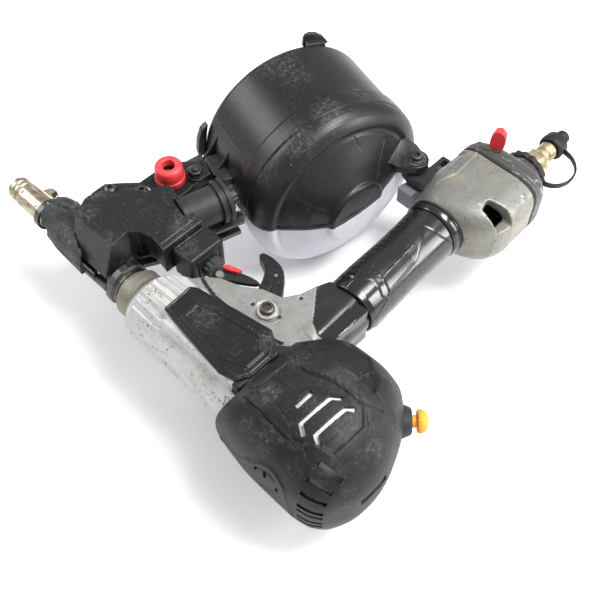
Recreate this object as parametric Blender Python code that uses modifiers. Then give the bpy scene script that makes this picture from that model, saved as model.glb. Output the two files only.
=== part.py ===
"""A pneumatic coil roofing nailer, as an assembly of separate solids.

The frame: the driver runs along X with the nose tip at the origin, the handle
runs along +Y, and +Z is the side that faces up when the tool lies down.
Every size below is in millimetres, and is turned into metres where a mesh is made.
"""
import math

import bmesh
import bpy
from mathutils import Matrix, Vector

MM = 0.001
GAP = 0.3                      # air between two pieces that touch
X, Y, Z = Vector((1, 0, 0)), Vector((0, 1, 0)), Vector((0, 0, 1))

# Nose and contact arm
BLADE_RADIUS = 2.0
STROKE = 82.0                  # travel of the piston and the driver blade
TIP_RADIUS = 8.4
TIP_LENGTH = 36.0
NOSE_TUBE_START = 22.0
NOSE_TUBE_RADIUS = 6.4
BLOCK = (58.0, 105.5)          # the steel block that holds the drive channel
CHANNEL_HALF = 4.0             # half the height of the nail channel
GUIDE_TOP = 6.2                # top of the plate that roofs the nail channel
NECK_FRONT = 117.0             # where the cast barrel begins

ARM_RADIUS = 1.3               # the contact arm's wire
ARM_END = 130.8                # inside the adjuster housing

# Barrel, head and piston
BARREL_END = 236.0
BORE_RADIUS = 18.5
SLEEVE_OUTER, SLEEVE_INNER = 15.8, 14.0
BUMPER = (124.5, 140.0)
BUMPER_RADIUS = 12.5
PISTON_REST = 222.3
HEAD_END = 310.0
HEAD_WALL = 2.5

# Handle and its end housing
HANDLE_TILT = math.radians(1.81)
HANDLE_X = 224.1               # where the handle's axis crosses the driver's
HANDLE_RADIUS = 16.0
GRIP_RADIUS = 18.4
GRIP = (80.0, 158.0)
HOUSING = (166.0, 214.0)
CAP = (216.3, 231.0)
PLUG_X = 231.5

# Trigger
TRIGGER_PIVOT = Vector((195.0, 38.0, 0.0))
TRIGGER_HALF = 4.4
PLUNGER_Y = 56.0

# Magazine drum
DRUM_TILT = math.radians(16.2)
DRUM_CENTRE = Vector((145.2, 146.8, 0.9))
DRUM_ALONG = Vector((math.cos(DRUM_TILT), -math.sin(DRUM_TILT), 0))
DRUM_ACROSS = Vector((math.sin(DRUM_TILT), math.cos(DRUM_TILT), 0))
DRUM_BACK = -64.1
DRUM_RADIUS = 62.1
BAND_RADIUS = 63.5
BAND_WIDTH = 12.6
DRUM_WALL = 2.2
HINGE_OUT = 66.8               # hinge pin, from the drum's axis
HINGE_DROP = -1.0

# Feeder, along the direction in which the nails travel
FEED = -DRUM_ACROSS
FEEDER_RING = Vector((117.1, 74.4, 18.4))
FEEDER_RADIUS = 11.8

PARTS = "coil_roofing_nailer"
CUTTERS = "cutters"


# ---------------------------------------------------------------- scene and materials

def clear_scene():
    for item in list(bpy.data.objects):
        bpy.data.objects.remove(item, do_unlink=True)
    for name in (PARTS, CUTTERS):
        bpy.context.scene.collection.children.link(bpy.data.collections.new(name))


def material(name, colour, roughness, metallic=0.0):
    found = bpy.data.materials.get(name)
    if found:
        return found
    made = bpy.data.materials.new(name)
    made.use_nodes = True
    shader = made.node_tree.nodes["Principled BSDF"]
    shader.inputs["Base Color"].default_value = (*colour, 1.0)
    shader.inputs["Roughness"].default_value = roughness
    shader.inputs["Metallic"].default_value = metallic
    made.diffuse_color = (*colour, 1.0)
    return made


FINISHES = {
    "cast_aluminium": ((0.62, 0.62, 0.60), 0.45, 0.8),
    "worn_steel": ((0.62, 0.56, 0.46), 0.4, 1.0),
    "dark_steel": ((0.12, 0.12, 0.12), 0.4, 0.9),
    "spring_steel": ((0.5, 0.5, 0.52), 0.3, 1.0),
    "brass": ((0.66, 0.56, 0.32), 0.35, 1.0),
    "black_plastic": ((0.03, 0.03, 0.033), 0.5, 0.0),
    "gloss_plastic": ((0.012, 0.012, 0.012), 0.2, 0.0),
    "clear_plastic": ((0.75, 0.73, 0.80), 0.25, 0.0),
    "grey_plastic": ((0.30, 0.29, 0.34), 0.45, 0.0),
    "dark_rubber": ((0.06, 0.065, 0.065), 0.7, 0.0),
    "black_rubber": ((0.015, 0.015, 0.015), 0.65, 0.0),
    "red_plastic": ((0.80, 0.07, 0.07), 0.45, 0.0),
    "orange_plastic": ((0.85, 0.36, 0.05), 0.4, 0.0),
}


def paint(item, finish):
    colour, roughness, metallic = FINISHES[finish]
    item.data.materials.clear()
    item.data.materials.append(material(item.name + "_" + finish, colour, roughness, metallic))


def part(item, name, finish, smooth=35):
    """Files an object as a finished piece of the tool."""
    item.name = name
    item.data.name = name
    paint(item, finish)
    item.data.shade_smooth()
    item.data.set_sharp_from_angle(angle=math.radians(smooth))
    return move_to(item, PARTS)


def cutter(item):
    """Files an object as a helper, which the Booleans use and nobody sees."""
    item.hide_render = True
    item.display_type = "WIRE"
    return move_to(item, CUTTERS)


def move_to(item, collection):
    for old in list(item.users_collection):
        old.objects.unlink(item)
    bpy.data.collections[collection].objects.link(item)
    return item


def turn_at(item, point):
    """Puts an object's origin on its joint."""
    place = Vector(point) * MM
    item.data.transform(Matrix.Translation(-place))
    item.location = place
    return item


# ---------------------------------------------------------------- shapes

def new_object(name, mesh):
    item = bpy.data.objects.new(name, mesh)
    bpy.context.scene.collection.objects.link(item)
    return item


def from_bmesh(name, work, scale=True):
    if scale:
        bmesh.ops.scale(work, vec=(MM, MM, MM), verts=work.verts)
    bmesh.ops.remove_doubles(work, verts=work.verts, dist=1e-6)
    bmesh.ops.recalc_face_normals(work, faces=work.faces)
    mesh = bpy.data.meshes.new(name)
    work.to_mesh(mesh)
    work.free()
    return new_object(name, mesh)


def frozen(item):
    """The object with its curve and modifiers turned into one plain closed mesh."""
    graph = bpy.context.evaluated_depsgraph_get()
    mesh = bpy.data.meshes.new_from_object(item.evaluated_get(graph))
    mesh.transform(item.matrix_world)
    name = item.name
    bpy.data.objects.remove(item, do_unlink=True)
    work = bmesh.new()
    work.from_mesh(mesh)
    return from_bmesh(name, work, scale=False)


def aim(direction, start):
    """The matrix that takes +Z to a direction and the origin to a start, in millimetres."""
    turn = Vector(direction).normalized().to_track_quat("Z", "Y").to_matrix().to_4x4()
    return Matrix.Translation(Vector(start)) @ turn


def box(low, high, bevel=0.0, segments=2):
    low, high = Vector(low), Vector(high)
    work = bmesh.new()
    bmesh.ops.create_cube(work, size=1.0)
    bmesh.ops.scale(work, vec=high - low, verts=work.verts)
    bmesh.ops.translate(work, vec=(low + high) / 2, verts=work.verts)
    if bevel:
        bmesh.ops.bevel(work, geom=work.edges[:], offset=bevel, segments=segments, affect="EDGES",
                        profile=0.5)
    return from_bmesh("box", work)


def cone(start, end, radius, radius_end=None, sides=20):
    start, end = Vector(start), Vector(end)
    work = bmesh.new()
    bmesh.ops.create_cone(work, cap_ends=True, segments=sides, radius1=radius,
                          radius2=radius if radius_end is None else radius_end,
                          depth=(end - start).length)
    bmesh.ops.transform(work, matrix=aim(end - start, (start + end) / 2), verts=work.verts)
    return from_bmesh("cone", work)


def turned(profile, start=(0, 0, 0), direction=X, sides=18):
    """A Screw round a direction: the profile is (distance along, radius), closed or from
    axis to axis."""
    mesh = bpy.data.meshes.new("profile")
    points = [(radius * MM, 0, along * MM) for along, radius in profile]
    touches_axis = profile[0][1] == 0 and profile[-1][1] == 0
    edges = [(i, i + 1) for i in range(len(points) - 1)]
    if not touches_axis:
        edges.append((len(points) - 1, 0))
    mesh.from_pydata(points, edges, [])
    item = new_object("turned", mesh)
    screw = item.modifiers.new("turn", "SCREW")
    screw.steps = screw.render_steps = sides
    screw.use_merge_vertices = True
    screw.merge_threshold = 1e-5
    item.matrix_world = metres(aim(direction, start))
    bpy.context.view_layer.update()
    return frozen(item)


def metres(matrix):
    placed = matrix.copy()
    placed.translation = matrix.translation * MM
    return placed


def plate(points, low, high, bevel=0.0, along=Z, segments=2):
    """A flat outline with a thickness. The outline is in XY for a plate along Z, in YZ
    along X, and in XZ along Y."""
    curve = bpy.data.curves.new("outline", "CURVE")
    curve.dimensions = "2D"
    curve.fill_mode = "BOTH"
    curve.extrude = (high - low) / 2 * MM
    spline = curve.splines.new("POLY")
    spline.points.add(len(points) - 1)
    for slot, (across, up) in zip(spline.points, points):
        slot.co = (across * MM, up * MM, 0, 1)
    spline.use_cyclic_u = True
    item = bpy.data.objects.new("plate", curve)
    bpy.context.scene.collection.objects.link(item)
    bpy.context.view_layer.update()
    item = frozen(item)
    middle = (low + high) / 2 * MM
    if along == X:
        item.data.transform(Matrix(((0, 0, 1, middle), (1, 0, 0, 0), (0, 1, 0, 0), (0, 0, 0, 1))))
    elif along == Y:
        item.data.transform(Matrix(((1, 0, 0, 0), (0, 0, -1, middle), (0, 1, 0, 0), (0, 0, 0, 1))))
    else:
        item.data.transform(Matrix.Translation((0, 0, middle)))
    if bevel:
        soften(item, bevel, segments)
    return item


def soften(item, width, segments=2, angle=30):
    bevel = item.modifiers.new("edges", "BEVEL")
    bevel.width = width * MM
    bevel.segments = segments
    bevel.limit_method = "ANGLE"
    bevel.angle_limit = math.radians(angle)
    return item


def rod(points, radius, resolution=2):
    """A round bar or wire along a line of points."""
    curve = bpy.data.curves.new("rod", "CURVE")
    curve.dimensions = "3D"
    curve.bevel_depth = radius * MM
    curve.bevel_resolution = resolution
    curve.use_fill_caps = True
    spline = curve.splines.new("POLY")
    spline.points.add(len(points) - 1)
    for slot, point in zip(spline.points, points):
        slot.co = (*(Vector(point) * MM), 1)
    item = bpy.data.objects.new("rod", curve)
    bpy.context.scene.collection.objects.link(item)
    bpy.context.view_layer.update()
    return frozen(item)


def coil(start, end, radius, wire, turns, steps=7):
    """A compression spring between two points."""
    start, end = Vector(start), Vector(end)
    place = aim(end - start, start)
    length = (end - start).length - 2 * wire
    count = int(turns * steps)
    points = []
    for i in range(count + 1):
        angle = 2 * math.pi * i / steps
        height = wire + length * i / count
        points.append(place @ Vector((radius * math.cos(angle), radius * math.sin(angle), height)))
    return rod(points, wire, resolution=1)


def loft(rings, closed=True):
    """A skin through rings of the same number of points."""
    work = bmesh.new()
    rows = [[work.verts.new(point) for point in ring] for ring in rings]
    count = len(rows[0])
    for row, following in zip(rows, rows[1:]):
        for i in range(count if closed else count - 1):
            j = (i + 1) % count
            work.faces.new((row[i], row[j], following[j], following[i]))
    if closed:
        work.faces.new(rows[0])
        work.faces.new(rows[-1])
    return from_bmesh("loft", work)


def oval(left, right, half, power=2.4, power_right=None, count=28):
    """Points (across, up) round a soft box from left to right, half as high above as below."""
    centre, reach = (left + right) / 2, (right - left) / 2
    points = []
    for i in range(count):
        angle = 2 * math.pi * (i + 0.5) / count
        c, s = math.cos(angle), math.sin(angle)
        n = power_right if power_right and c > 0 else power
        points.append((centre + reach * math.copysign(abs(c) ** (2 / n), c),
                       half * math.copysign(abs(s) ** (2 / n), s)))
    return points


def arc(centre, radius, start, end, count=6):
    """Points (across, up) along a round stretch, with its angles in degrees."""
    angles = [math.radians(start + (end - start) * i / count) for i in range(count + 1)]
    return [(centre[0] + radius * math.cos(a), centre[1] + radius * math.sin(a)) for a in angles]


def boolean(item, other, operation):
    tool = item.modifiers.new(operation.lower(), "BOOLEAN")
    tool.operation = operation
    tool.solver = "EXACT"
    tool.object = cutter(other)
    return item


def join(item, *others):
    for other in others:
        boolean(item, other, "UNION")
    return item


def cut(item, *others):
    for other in others:
        boolean(item, other, "DIFFERENCE")
    return item


def drum_point(along, across, up=0.0):
    """A point of the drum's own frame, as a point of the tool's."""
    return DRUM_CENTRE + DRUM_ALONG * along + DRUM_ACROSS * across + Z * up


def handle_point(y, aside=0.0, up=0.0):
    """A point on the handle's axis at a height y along the tool."""
    return Vector((HANDLE_X - y * math.tan(HANDLE_TILT) + aside, y, up))


def feeder_at(along):
    """A point on the feeder's axis, counted from the ring towards the nose."""
    return FEEDER_RING + FEED * along


HANDLE_ALONG = (handle_point(1) - handle_point(0)).normalized()


# ---------------------------------------------------------------- nose

def make_contact_tip():
    crown = [(0, 4.4), (0, 7.6), (2.2, 8.0), (4.2, 8.0), (4.2, 7.4), (5.8, 7.4), (5.8, 8.2),
             (8.0, 8.2), (8.0, 7.8), (9.2, 7.8), (9.2, TIP_RADIUS), (TIP_LENGTH, TIP_RADIUS),
             (TIP_LENGTH, 6.9), (5.5, 6.9), (5.5, 4.4)]
    tip = turned(crown)
    for i in range(4):
        angle = math.pi * (i + 0.45) / 4
        across = Vector((0, math.cos(angle), math.sin(angle))) * 12
        cut(tip, cone(X * -0.6 - across, X * -0.6 + across, 1.6, sides=10))
    join(tip, plate([(20, 6.5), (21, 12.5), (26, 13.4), (30, 12.2), (30.5, 7.5)], 1.0, 5.5))
    return part(tip, "contact_tip", "worn_steel")


def make_push_lever():
    """The collar behind the tip, and the arm that runs under the cover to the adjuster."""
    route = [(34, 1.5, 9.9), (60, 1.5, 11.2), (80, 3, 12), (83, 8, 20), (84, 13, 24.0), (90, 22, 24.0),
             (97, 27, 24.0), (109, 32.5, 24.0), (110.8, 33.5, 21), (111.2, 33.5, 12), (112.4, 33.5, 10),
             (ARM_END, 33.5, 10)]
    lever = rod(route, ARM_RADIUS)
    collar = cut(cone((31.5, 0, 0), (35.5, 0, 0), 10.4, sides=28),
                 cone((30, 0, 0), (37, 0, 0), TIP_RADIUS + 0.5, sides=28))
    ear_notch = box((30, 5.5, 0.3), (34.3, 14, 6.2))
    return part(cut(join(lever, collar), ear_notch), "push_lever", "dark_steel")


def make_push_spring():
    spring = coil((TIP_LENGTH + GAP, 0, 0), (BLOCK[0] - GAP, 0, 0), 7.9, 0.7, 4.5)
    return part(spring, "push_spring", "spring_steel")


def make_nose_body():
    tube = turned([(NOSE_TUBE_START, 0), (NOSE_TUBE_START, NOSE_TUBE_RADIUS - 0.6),
                   (NOSE_TUBE_START + 0.6, NOSE_TUBE_RADIUS), (BLOCK[0] + 3, NOSE_TUBE_RADIUS),
                   (BLOCK[0] + 3, 0)])
    block = box((BLOCK[0], -5.8, -4.3), (BLOCK[1] + 2, 13, 6.0))
    flange = turned([(BLOCK[1], 0), (BLOCK[1], 11.0), (108, 12.5), (109, 14.5), (113, 14.5),
                     (114, 13.0), (NECK_FRONT - GAP, 13.0), (NECK_FRONT - GAP, 0)])
    guide = plate([(62, 10), (103, 10), (117, 38), (124, 56), (132, 80), (126.5, 83.2), (69, 99.8),
                   (63, 60)], CHANNEL_HALF, GUIDE_TOP)
    feeder_room = cone(feeder_at(-14), feeder_at(60), FEEDER_RADIUS + 2.8)
    join(block, tube, flange, guide)
    channel = box((BLOCK[0] + 4, -CHANNEL_HALF + 0.1, -6), (BLOCK[1] - 1, 20, CHANNEL_HALF))
    cut(block, channel, feeder_room, cone((NOSE_TUBE_START - 2, 0, 0), (BLOCK[0] + 6, 0, 0), 4.2, sides=32),
        cone((BLOCK[1] - 4, 0, 0), (NECK_FRONT + 2, 0, 0), 3.2, sides=24))
    pawl_slot = plate([(83, 13.5), (95, 13.5), (100, 37), (86.5, 37)], CHANNEL_HALF - 1, 12)
    cut(block, pawl_slot)
    return part(block, "nose_body", "worn_steel")


def make_nose_guard():
    sections = [(35, -8.5, 12.5, 11.5), (38, -9.8, 15.0, 13.2), (46, -11, 16.6, 14.6),
                (60, -13.2, 17.0, 15.6), (84, -14.2, 17.0, 15.6)]
    rings = [[(x, a, u) for a, u in oval(left, right, half, 2.5)] for x, left, right, half in sections]
    guard = loft(rings)
    cut(guard, cone((30, 0, 0), (57.4, 0, 0), 12.0, 10.7, sides=32))
    cut(guard, box((56.5, -10.6, -16.5), (90, 13.6, 9.4)))
    cut(guard, plate([(62, 22), (62, 12), (70, -4), (86, -12.4), (90, -12.4), (90, 22)], -30, 30))
    cut(guard, cone((30, 1.5, 9.8), (90, 1.8, 12.4), ARM_RADIUS + 1.0, sides=16))
    cut(guard, box((33, 6, 0.2), (48, 20, 6.3)))
    cut(guard, box((54, -20, -20), (90, 20, -4.0)))
    return part(guard, "nose_guard", "dark_rubber")


# ---------------------------------------------------------------- covers over the feeder

COVER_TOP = 28.5
COVER_OUTLINE = [(62.5, -9.5), (62.5, 16), (65.4, 24), (72.4, 29.5), (74.4, 36.5), (85.4, 42.5),
                 (89.4, 54.5), (94.4, 56.5), (109.4, 51), (127.5, 51.5), (127.5, 19.5), (114.4, 21.5),
                 (106.4, 19), (101.5, 14), (104.6, -9.5)]


def lean_cut(side_y, side_z, angle):
    """A big cutter whose face leans back over the cover's outer side."""
    slope = box((30, -60, -20), (150, 0, 60))
    slope.data.transform(Matrix.Translation(Vector((0, side_y, side_z)) * MM)
                         @ Matrix.Rotation(math.radians(angle), 4, "X"))
    return slope


def make_nose_cover():
    cover = plate(COVER_OUTLINE, GUIDE_TOP + GAP, COVER_TOP)
    cut(cover, lean_cut(-9.6, 6, -24))
    inner = [(64.8, -9.0), (64.8, 14), (68.4, 22.5), (74.4, 28), (76.4, 35), (87.4, 41), (91.4, 52.5),
             (94.4, 54), (109, 48.6), (125.1, 49), (125.1, 22), (113.4, 24), (105, 21), (99.2, 14.5),
             (102.2, -9.0)]
    cavity = plate(inner, 0.0, COVER_TOP - 2.4)
    cut(cavity, lean_cut(-7.4, 6, -24))
    over_neck = box((55, 19, 0), (110, 65, 15.3))
    beside_guard = plate([(50, -20), (50, 12.6), (62.6, 12.4), (70.7, -3.6), (86.4, -11.8),
                          (86.4, -20)], 0, 40)
    over_feeder = cone(feeder_at(-8), feeder_at(28), FEEDER_RADIUS + 0.6, sides=28)
    washer_room = cone((75.6, 45.4, 10), (75.6, 45.4, 30), 6.5, sides=20)
    arm_hole = cone((120, 33.5, 10), (130, 33.5, 10), ARM_RADIUS + 0.7, sides=16)
    cut(cover, cavity, over_neck, beside_guard, over_feeder, washer_room, arm_hole)
    return part(cover, "nose_cover", "black_plastic")


def screw(point, head, height, shank, depth, sides=20):
    """A dome-headed screw that stands along +Z, its head's underside at the point."""
    profile = [(-depth, 0), (-depth, shank), (0, shank), (0, head), (height * 0.45, head),
               (height * 0.8, head * 0.75), (height, head * 0.4), (height, 0)]
    return turned(profile, point, Z, sides)


def make_cover_screws():
    part(screw((58.5, 33.5, 15.4), 4.0, 3.4, 2.0, 5.0), "front_cover_screw", "dark_steel")
    rear = join(screw((75.6, 45.4, 16.7), 4.4, 3.8, 2.0, 6.5),
                cone((75.6, 45.4, 15.3), (75.6, 45.4, 16.9), 6.0))
    part(rear, "rear_cover_screw", "dark_steel")


def make_adjuster_housing():
    shell = box((128.0, 25.0, 3.0), (145.0, 51.5, 26.0), 1.6)
    cut(shell, box((130.2, 27.2, 1.0), (142.8, 49.3, 23.8)))
    cut(shell, cone((138, 40, 11), (150, 40, 11), 2.7, sides=16),
        cone((120, 33.5, 10), (134, 33.5, 10), ARM_RADIUS + 0.7, sides=16))
    return part(shell, "adjuster_housing", "black_plastic")


DIAL = Vector((145.0, 40.0, 11.0))


def make_depth_dial():
    flutes = []
    for i in range(36):
        angle = 2 * math.pi * i / 36
        radius = 6.1 if i % 3 == 2 else 7.0
        flutes.append((DIAL.y + radius * math.cos(angle), DIAL.z + radius * math.sin(angle)))
    dial = plate(flutes, DIAL.x + 0.4, DIAL.x + 4.8, along=X)
    join(dial, cone(DIAL - X * 10, DIAL + X * 2, 2.4, sides=16))
    return turn_at(part(dial, "depth_dial", "black_plastic"), DIAL)


# ---------------------------------------------------------------- feeder and nail door

def make_feeder():
    outer, inner = FEEDER_RADIUS, FEEDER_RADIUS - 1.4
    tube = turned([(-3.5, inner), (-3.5, outer), (27, outer), (27, 3.0), (24.5, 3.0), (24.5, inner)],
                  FEEDER_RING, FEED, 28)
    part(tube, "feeder_cylinder", "dark_steel")
    rim = outer + GAP
    ring = turned([(-4.0, rim), (-4.0, 14.0), (-0.9, 14.0), (-0.9, 13.2), (0.3, 13.2), (0.3, 14.0),
                   (3.4, 14.0), (3.4, rim)], FEEDER_RING, FEED, 28)
    part(ring, "feeder_clamp_ring", "black_plastic")
    cap = turned([(-10.4, 0), (-10.4, 5.2), (-9.8, 6.0), (-5.2, 6.0), (-5.2, 11.2), (-3.9, 11.2),
                  (-3.9, inner - GAP), (2.0, inner - GAP), (2.0, 0)], FEEDER_RING, FEED, 12)
    part(cap, "feeder_end_cap", "black_plastic")
    head = inner - GAP
    piston = turned([(5.0, 0), (5.0, head), (10.0, head), (10.0, 2.4), (44.0, 2.4), (44.0, 0)],
                    FEEDER_RING, FEED)
    pawl = feeder_at(46)
    foot = plate([(pawl.x - 17, pawl.y - 4), (pawl.x - 4, pawl.y - 4), (pawl.x - 4, pawl.y + 3.5),
                  (pawl.x + 4, pawl.y + 3.5), (pawl.x + 4, pawl.y + 7), (pawl.x - 17, pawl.y + 7)],
                 GUIDE_TOP + 1.5, 21.0)
    tooth = plate([(pawl.x - 16, pawl.y - 4), (pawl.x - 8, pawl.y - 4), (pawl.x - 8, pawl.y + 1),
                   (pawl.x - 16, pawl.y - 1)], 1.5, 10.0)
    part(join(piston, foot, tooth), "feed_piston", "worn_steel")
    spring = coil(feeder_at(10 + GAP), feeder_at(24.5 - GAP), 7.0, 0.7, 4)
    part(spring, "feed_spring", "spring_steel")


def make_magazine_neck():
    neck = plate([(51, 23), (51, 35), (56, 41), (66, 51), (66, 62), (69, 78), (80, 92), (93, 88),
                  (94, 62), (90, 44), (72, 20)], 8.3, 15.0, 0.8)
    cut(neck, cone((58.5, 33.5, 0), (58.5, 33.5, 30), 2.3, sides=16),
        cone((75.6, 45.4, 0), (75.6, 45.4, 30), 2.3, sides=16),
        cone((87.5, 80, 0), (87.5, 80, 30), 2.8, sides=16))
    join(neck, cone((79.3, 65.9, 14), (79.3, 65.9, 22.5), 5.4, 5.0, sides=20))
    return part(neck, "magazine_neck", "black_plastic")


def make_neck_bolt():
    shank = turned([(-5, 0), (-5, 2.4), (0, 2.4), (0, 6.2), (1.4, 6.2), (1.4, 5.0), (2.2, 5.0),
                    (2.2, 2.6), (6.6, 2.6), (7.2, 2.0), (7.2, 0)], (87.5, 80, 15.3), Z, 20)
    join(shank, cone((87.5, 80, 16.5), (87.5, 80, 20.6), 4.9, sides=6))
    return part(shank, "neck_bolt", "dark_steel")


def make_spare_nose_cap():
    cap = turned([(0, 7.0), (0, 9.7), (5.2, 9.7), (5.6, 9.2), (13.2, 9.0), (14.2, 8.0), (14.2, 4.4),
                  (9.0, 4.2), (9.0, 7.0)], (79.3, 65.9, 15.3), Z, 28)
    return part(cap, "spare_nose_cap", "red_plastic")


def make_door():
    door = plate([(66, -3), (102, -3), (102, 12), (116, 38), (122, 55), (129, 79), (76, 94.5),
                  (68, 84), (63, 60), (62, 14)], -8.0, -CHANNEL_HALF - 0.6)
    for low, high in ((68, 78), (90, 100)):
        join(door, cone((low, -7.6, -8.6), (high, -7.6, -8.6), 2.8, sides=16),
             box((low + 0.3, -7.6, -7.7), (high - 0.3, -2.5, -5.5)))
    cut(door, cone((64, -7.6, -8.6), (104, -7.6, -8.6), 1.5, sides=16))
    join(door, box((66, 30, -10.5), (110, 33, -7.5)))
    return turn_at(part(door, "nail_door", "dark_steel"), (84, -7.6, -8.6))


def make_door_hinge():
    pin = cone((66, -7.6, -8.6), (102.5, -7.6, -8.6), 1.25, sides=16)
    lugs = [join(cone((low, -7.6, -8.6), (high, -7.6, -8.6), 2.8, sides=16),
                 box((low, -8.8, -8.4), (high, -6.2, -1.5)))
            for low, high in ((78.6, 89.4),)]
    return part(join(pin, *lugs), "door_hinge_pin", "dark_steel")


def make_door_latch():
    latch = plate([(70, 66), (74, 61), (80, 60), (100, 58), (104, 61), (101, 65), (82, 68), (76, 72)],
                  -11.5, -8.5, 0.6)
    join(latch, cone((78, 66, -14), (78, 66, -8.5), 4.0, sides=20))
    return turn_at(part(latch, "door_latch", "dark_steel"), (78, 66, -10))


# ---------------------------------------------------------------- cast body

def make_body_casting():
    sections = [(117, 13, 13, 2), (119.5, 13, 13, 2), (120.5, 16, 16, 2), (128, 16, 16, 2),
                (133, 19.5, 20, 2), (137, 21, 23, 2.1), (158, 21, 25, 2.2), (163, 21, 26.5, 2.3),
                (224, 22.5, 28, 2.3), (227, 24.5, 28.5, 2.2), (BARREL_END, 24.5, 28.5, 2.2)]
    rings = [[(x, a, u) for a, u in oval(-wide, wide, half, power)]
             for x, wide, half, power in sections]
    body = loft(rings)
    boss = box((163, -14, -29), (226, 18, 29), 1.5)
    web = plate([(134, 0), (136, 19), (146, 23.5), (151, 30), (158, 35.5), (171, 40), (182, 47.5),
                 (194, 51), (200, 60), (203, 71), (206.5, 79.4), (236.5, 79.4), (236, 55),
                 (235.5, 20), (235.5, 0)], -15, 15)
    handle = cone(handle_point(42), handle_point(170), HANDLE_RADIUS, sides=28)
    housing = loft([[(a, y, u) for a, u in oval(left, right, half, power)] for
                    y, left, right, half, power in (
                        (HOUSING[0], 199.5, 240, 18, 2.2), (170, 198, 248, 21, 2.5),
                        (177, 196.5, 255, 23, 3.0), (190, 196, 258, 24, 3.6),
                        (HOUSING[1], 196, 257, 24, 4.0))])
    join(body, boss, web, handle, housing)
    bore = cone((BUMPER[1] - 2, 0, 0), (BARREL_END + 2, 0, 0), BORE_RADIUS, sides=28)
    seat = cone((BUMPER[0] - GAP, 0, 0), (BUMPER[1], 0, 0), BUMPER_RADIUS, sides=24)
    rod_hole = cone((110, 0, 0), (130, 0, 0), 4.0, sides=20)
    air = cone(handle_point(12), handle_point(182), 11.5, sides=28)
    chamber = loft([[(a, y, u) for a, u in oval(202, 251, 19, 3.2, count=20)] for y in (176, 220)])
    slot = box((130, 21.5, -TRIGGER_HALF - 0.7), (206.5, 66, TRIGGER_HALF + 0.7))
    valve = cone((204, PLUNGER_Y, 0), (216.5, PLUNGER_Y, 0), 6.3, sides=20)
    pin = cone(TRIGGER_PIVOT - Z * 30, TRIGGER_PIVOT + Z * 30, 2.7, sides=20)
    notch = box((236, 178, 10), (262, 190, 30), 2.0)
    cut(body, bore, seat, rod_hole, air, chamber, slot, valve, pin, notch)
    return part(body, "body_casting", "cast_aluminium")


PLATE_OUTLINE = [(160, -8), (159, 12), (163, 15), (185, 19), (213, 24), (221, 20), (226.3, 12),
                 (226.3, -4), (222, -12), (212, -15), (196, -13)]
PANEL_OUTLINE = [(171, -5), (170, 9), (184, 13), (214, 18), (221, 11), (221, -3), (205, -9)]


def make_side_plates():
    for name, side in (("left_side_plate", 1), ("right_side_plate", -1)):
        low, high = sorted((side * (29 + GAP), side * 31.2))
        cover = plate(PLATE_OUTLINE, low, high, 0.7)
        panel_low, panel_high = sorted((side * 30.5, side * 32.0))
        join(cover, plate(PANEL_OUTLINE, panel_low, panel_high))
        part(cover, name, "black_plastic")


# ---------------------------------------------------------------- cylinder and head

def make_cylinder():
    front = BUMPER[1] - 1
    sleeve = turned([(front, SLEEVE_INNER), (front, SLEEVE_OUTER), (228, SLEEVE_OUTER),
                     (228, BORE_RADIUS - 0.4), (BARREL_END, BORE_RADIUS - 0.4),
                     (BARREL_END, SLEEVE_INNER)], sides=28)
    part(sleeve, "cylinder_sleeve", "worn_steel")
    bumper = turned([(BUMPER[0], 3.2), (BUMPER[0], BUMPER_RADIUS - GAP),
                     (BUMPER[1], BUMPER_RADIUS - GAP), (BUMPER[1], 3.2)])
    part(bumper, "piston_bumper", "black_rubber")
    back = PISTON_REST + 12
    piston = turned([(PISTON_REST, 3.0), (PISTON_REST, 13.2), (PISTON_REST + 3, 13.7),
                     (PISTON_REST + 5, 13.7), (PISTON_REST + 5, 12.6), (PISTON_REST + 8, 12.6),
                     (PISTON_REST + 8, 13.7), (back, 13.7), (back, 3.0)], sides=24)
    part(piston, "piston", "cast_aluminium")
    blade = cone((PISTON_REST - 140.3, 0, 0), (back - 1, 0, 0), BLADE_RADIUS, sides=20)
    part(blade, "driver_blade", "spring_steel")


def make_head_valve():
    ring = turned([(BARREL_END + 0.5, 9), (BARREL_END + 0.5, 20.5), (BARREL_END + 8, 20.5),
                   (BARREL_END + 8, 14), (BARREL_END + 20, 14), (BARREL_END + 20, 9)])
    part(ring, "head_valve", "black_rubber")
    spring = coil((BARREL_END + 8.3, 0, 0), (BARREL_END + 32, 0, 0), 17.4, 1.0, 4)
    part(spring, "head_valve_spring", "spring_steel")


def make_cylinder_cap():
    """The casting that closes the cylinder: its outside lies close under the head's jacket, and
    its front holds the valve's room and a pocket for the exhaust."""
    stub = cone((BARREL_END + GAP, 0, 0), (250, 0, 0), 26.5, sides=32)
    sections = [(240.5, -27.0, 50.0, 35.5), (248, -30.2, 55.7, 38.9), (264, -31.2, 56.7, 39.2),
                (280, -31.6, 53.7, 38.2), (284, -31.0, 50.4, 37.0), (285.5, -26, 42, 32),
                (298, -18, 24, 22), (301, -12, 16, 15)]
    cap = loft([head_ring(*section, 24) for section in sections])
    valve_room = cone((230, 0, 0), (268.5, 0, 0), 21, sides=32)
    pocket = box((238, 25, -24), (272, 44, 24))
    duster_room = cone(BUTTON_BASE - BUTTON_ALONG * 9, BUTTON_BASE + BUTTON_ALONG * 30, 11.4, sides=28)
    cut(join(cap, stub), valve_room, pocket, duster_room)
    for i in range(6):
        angle = 2 * math.pi * i / 6
        out = Vector((0, math.cos(angle), math.sin(angle)))
        cut(cap, cone(X * 252 + out * 18, X * 252 + out * 60, 2.4, sides=12))
    return part(cap, "cylinder_cap", "cast_aluminium")


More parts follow.
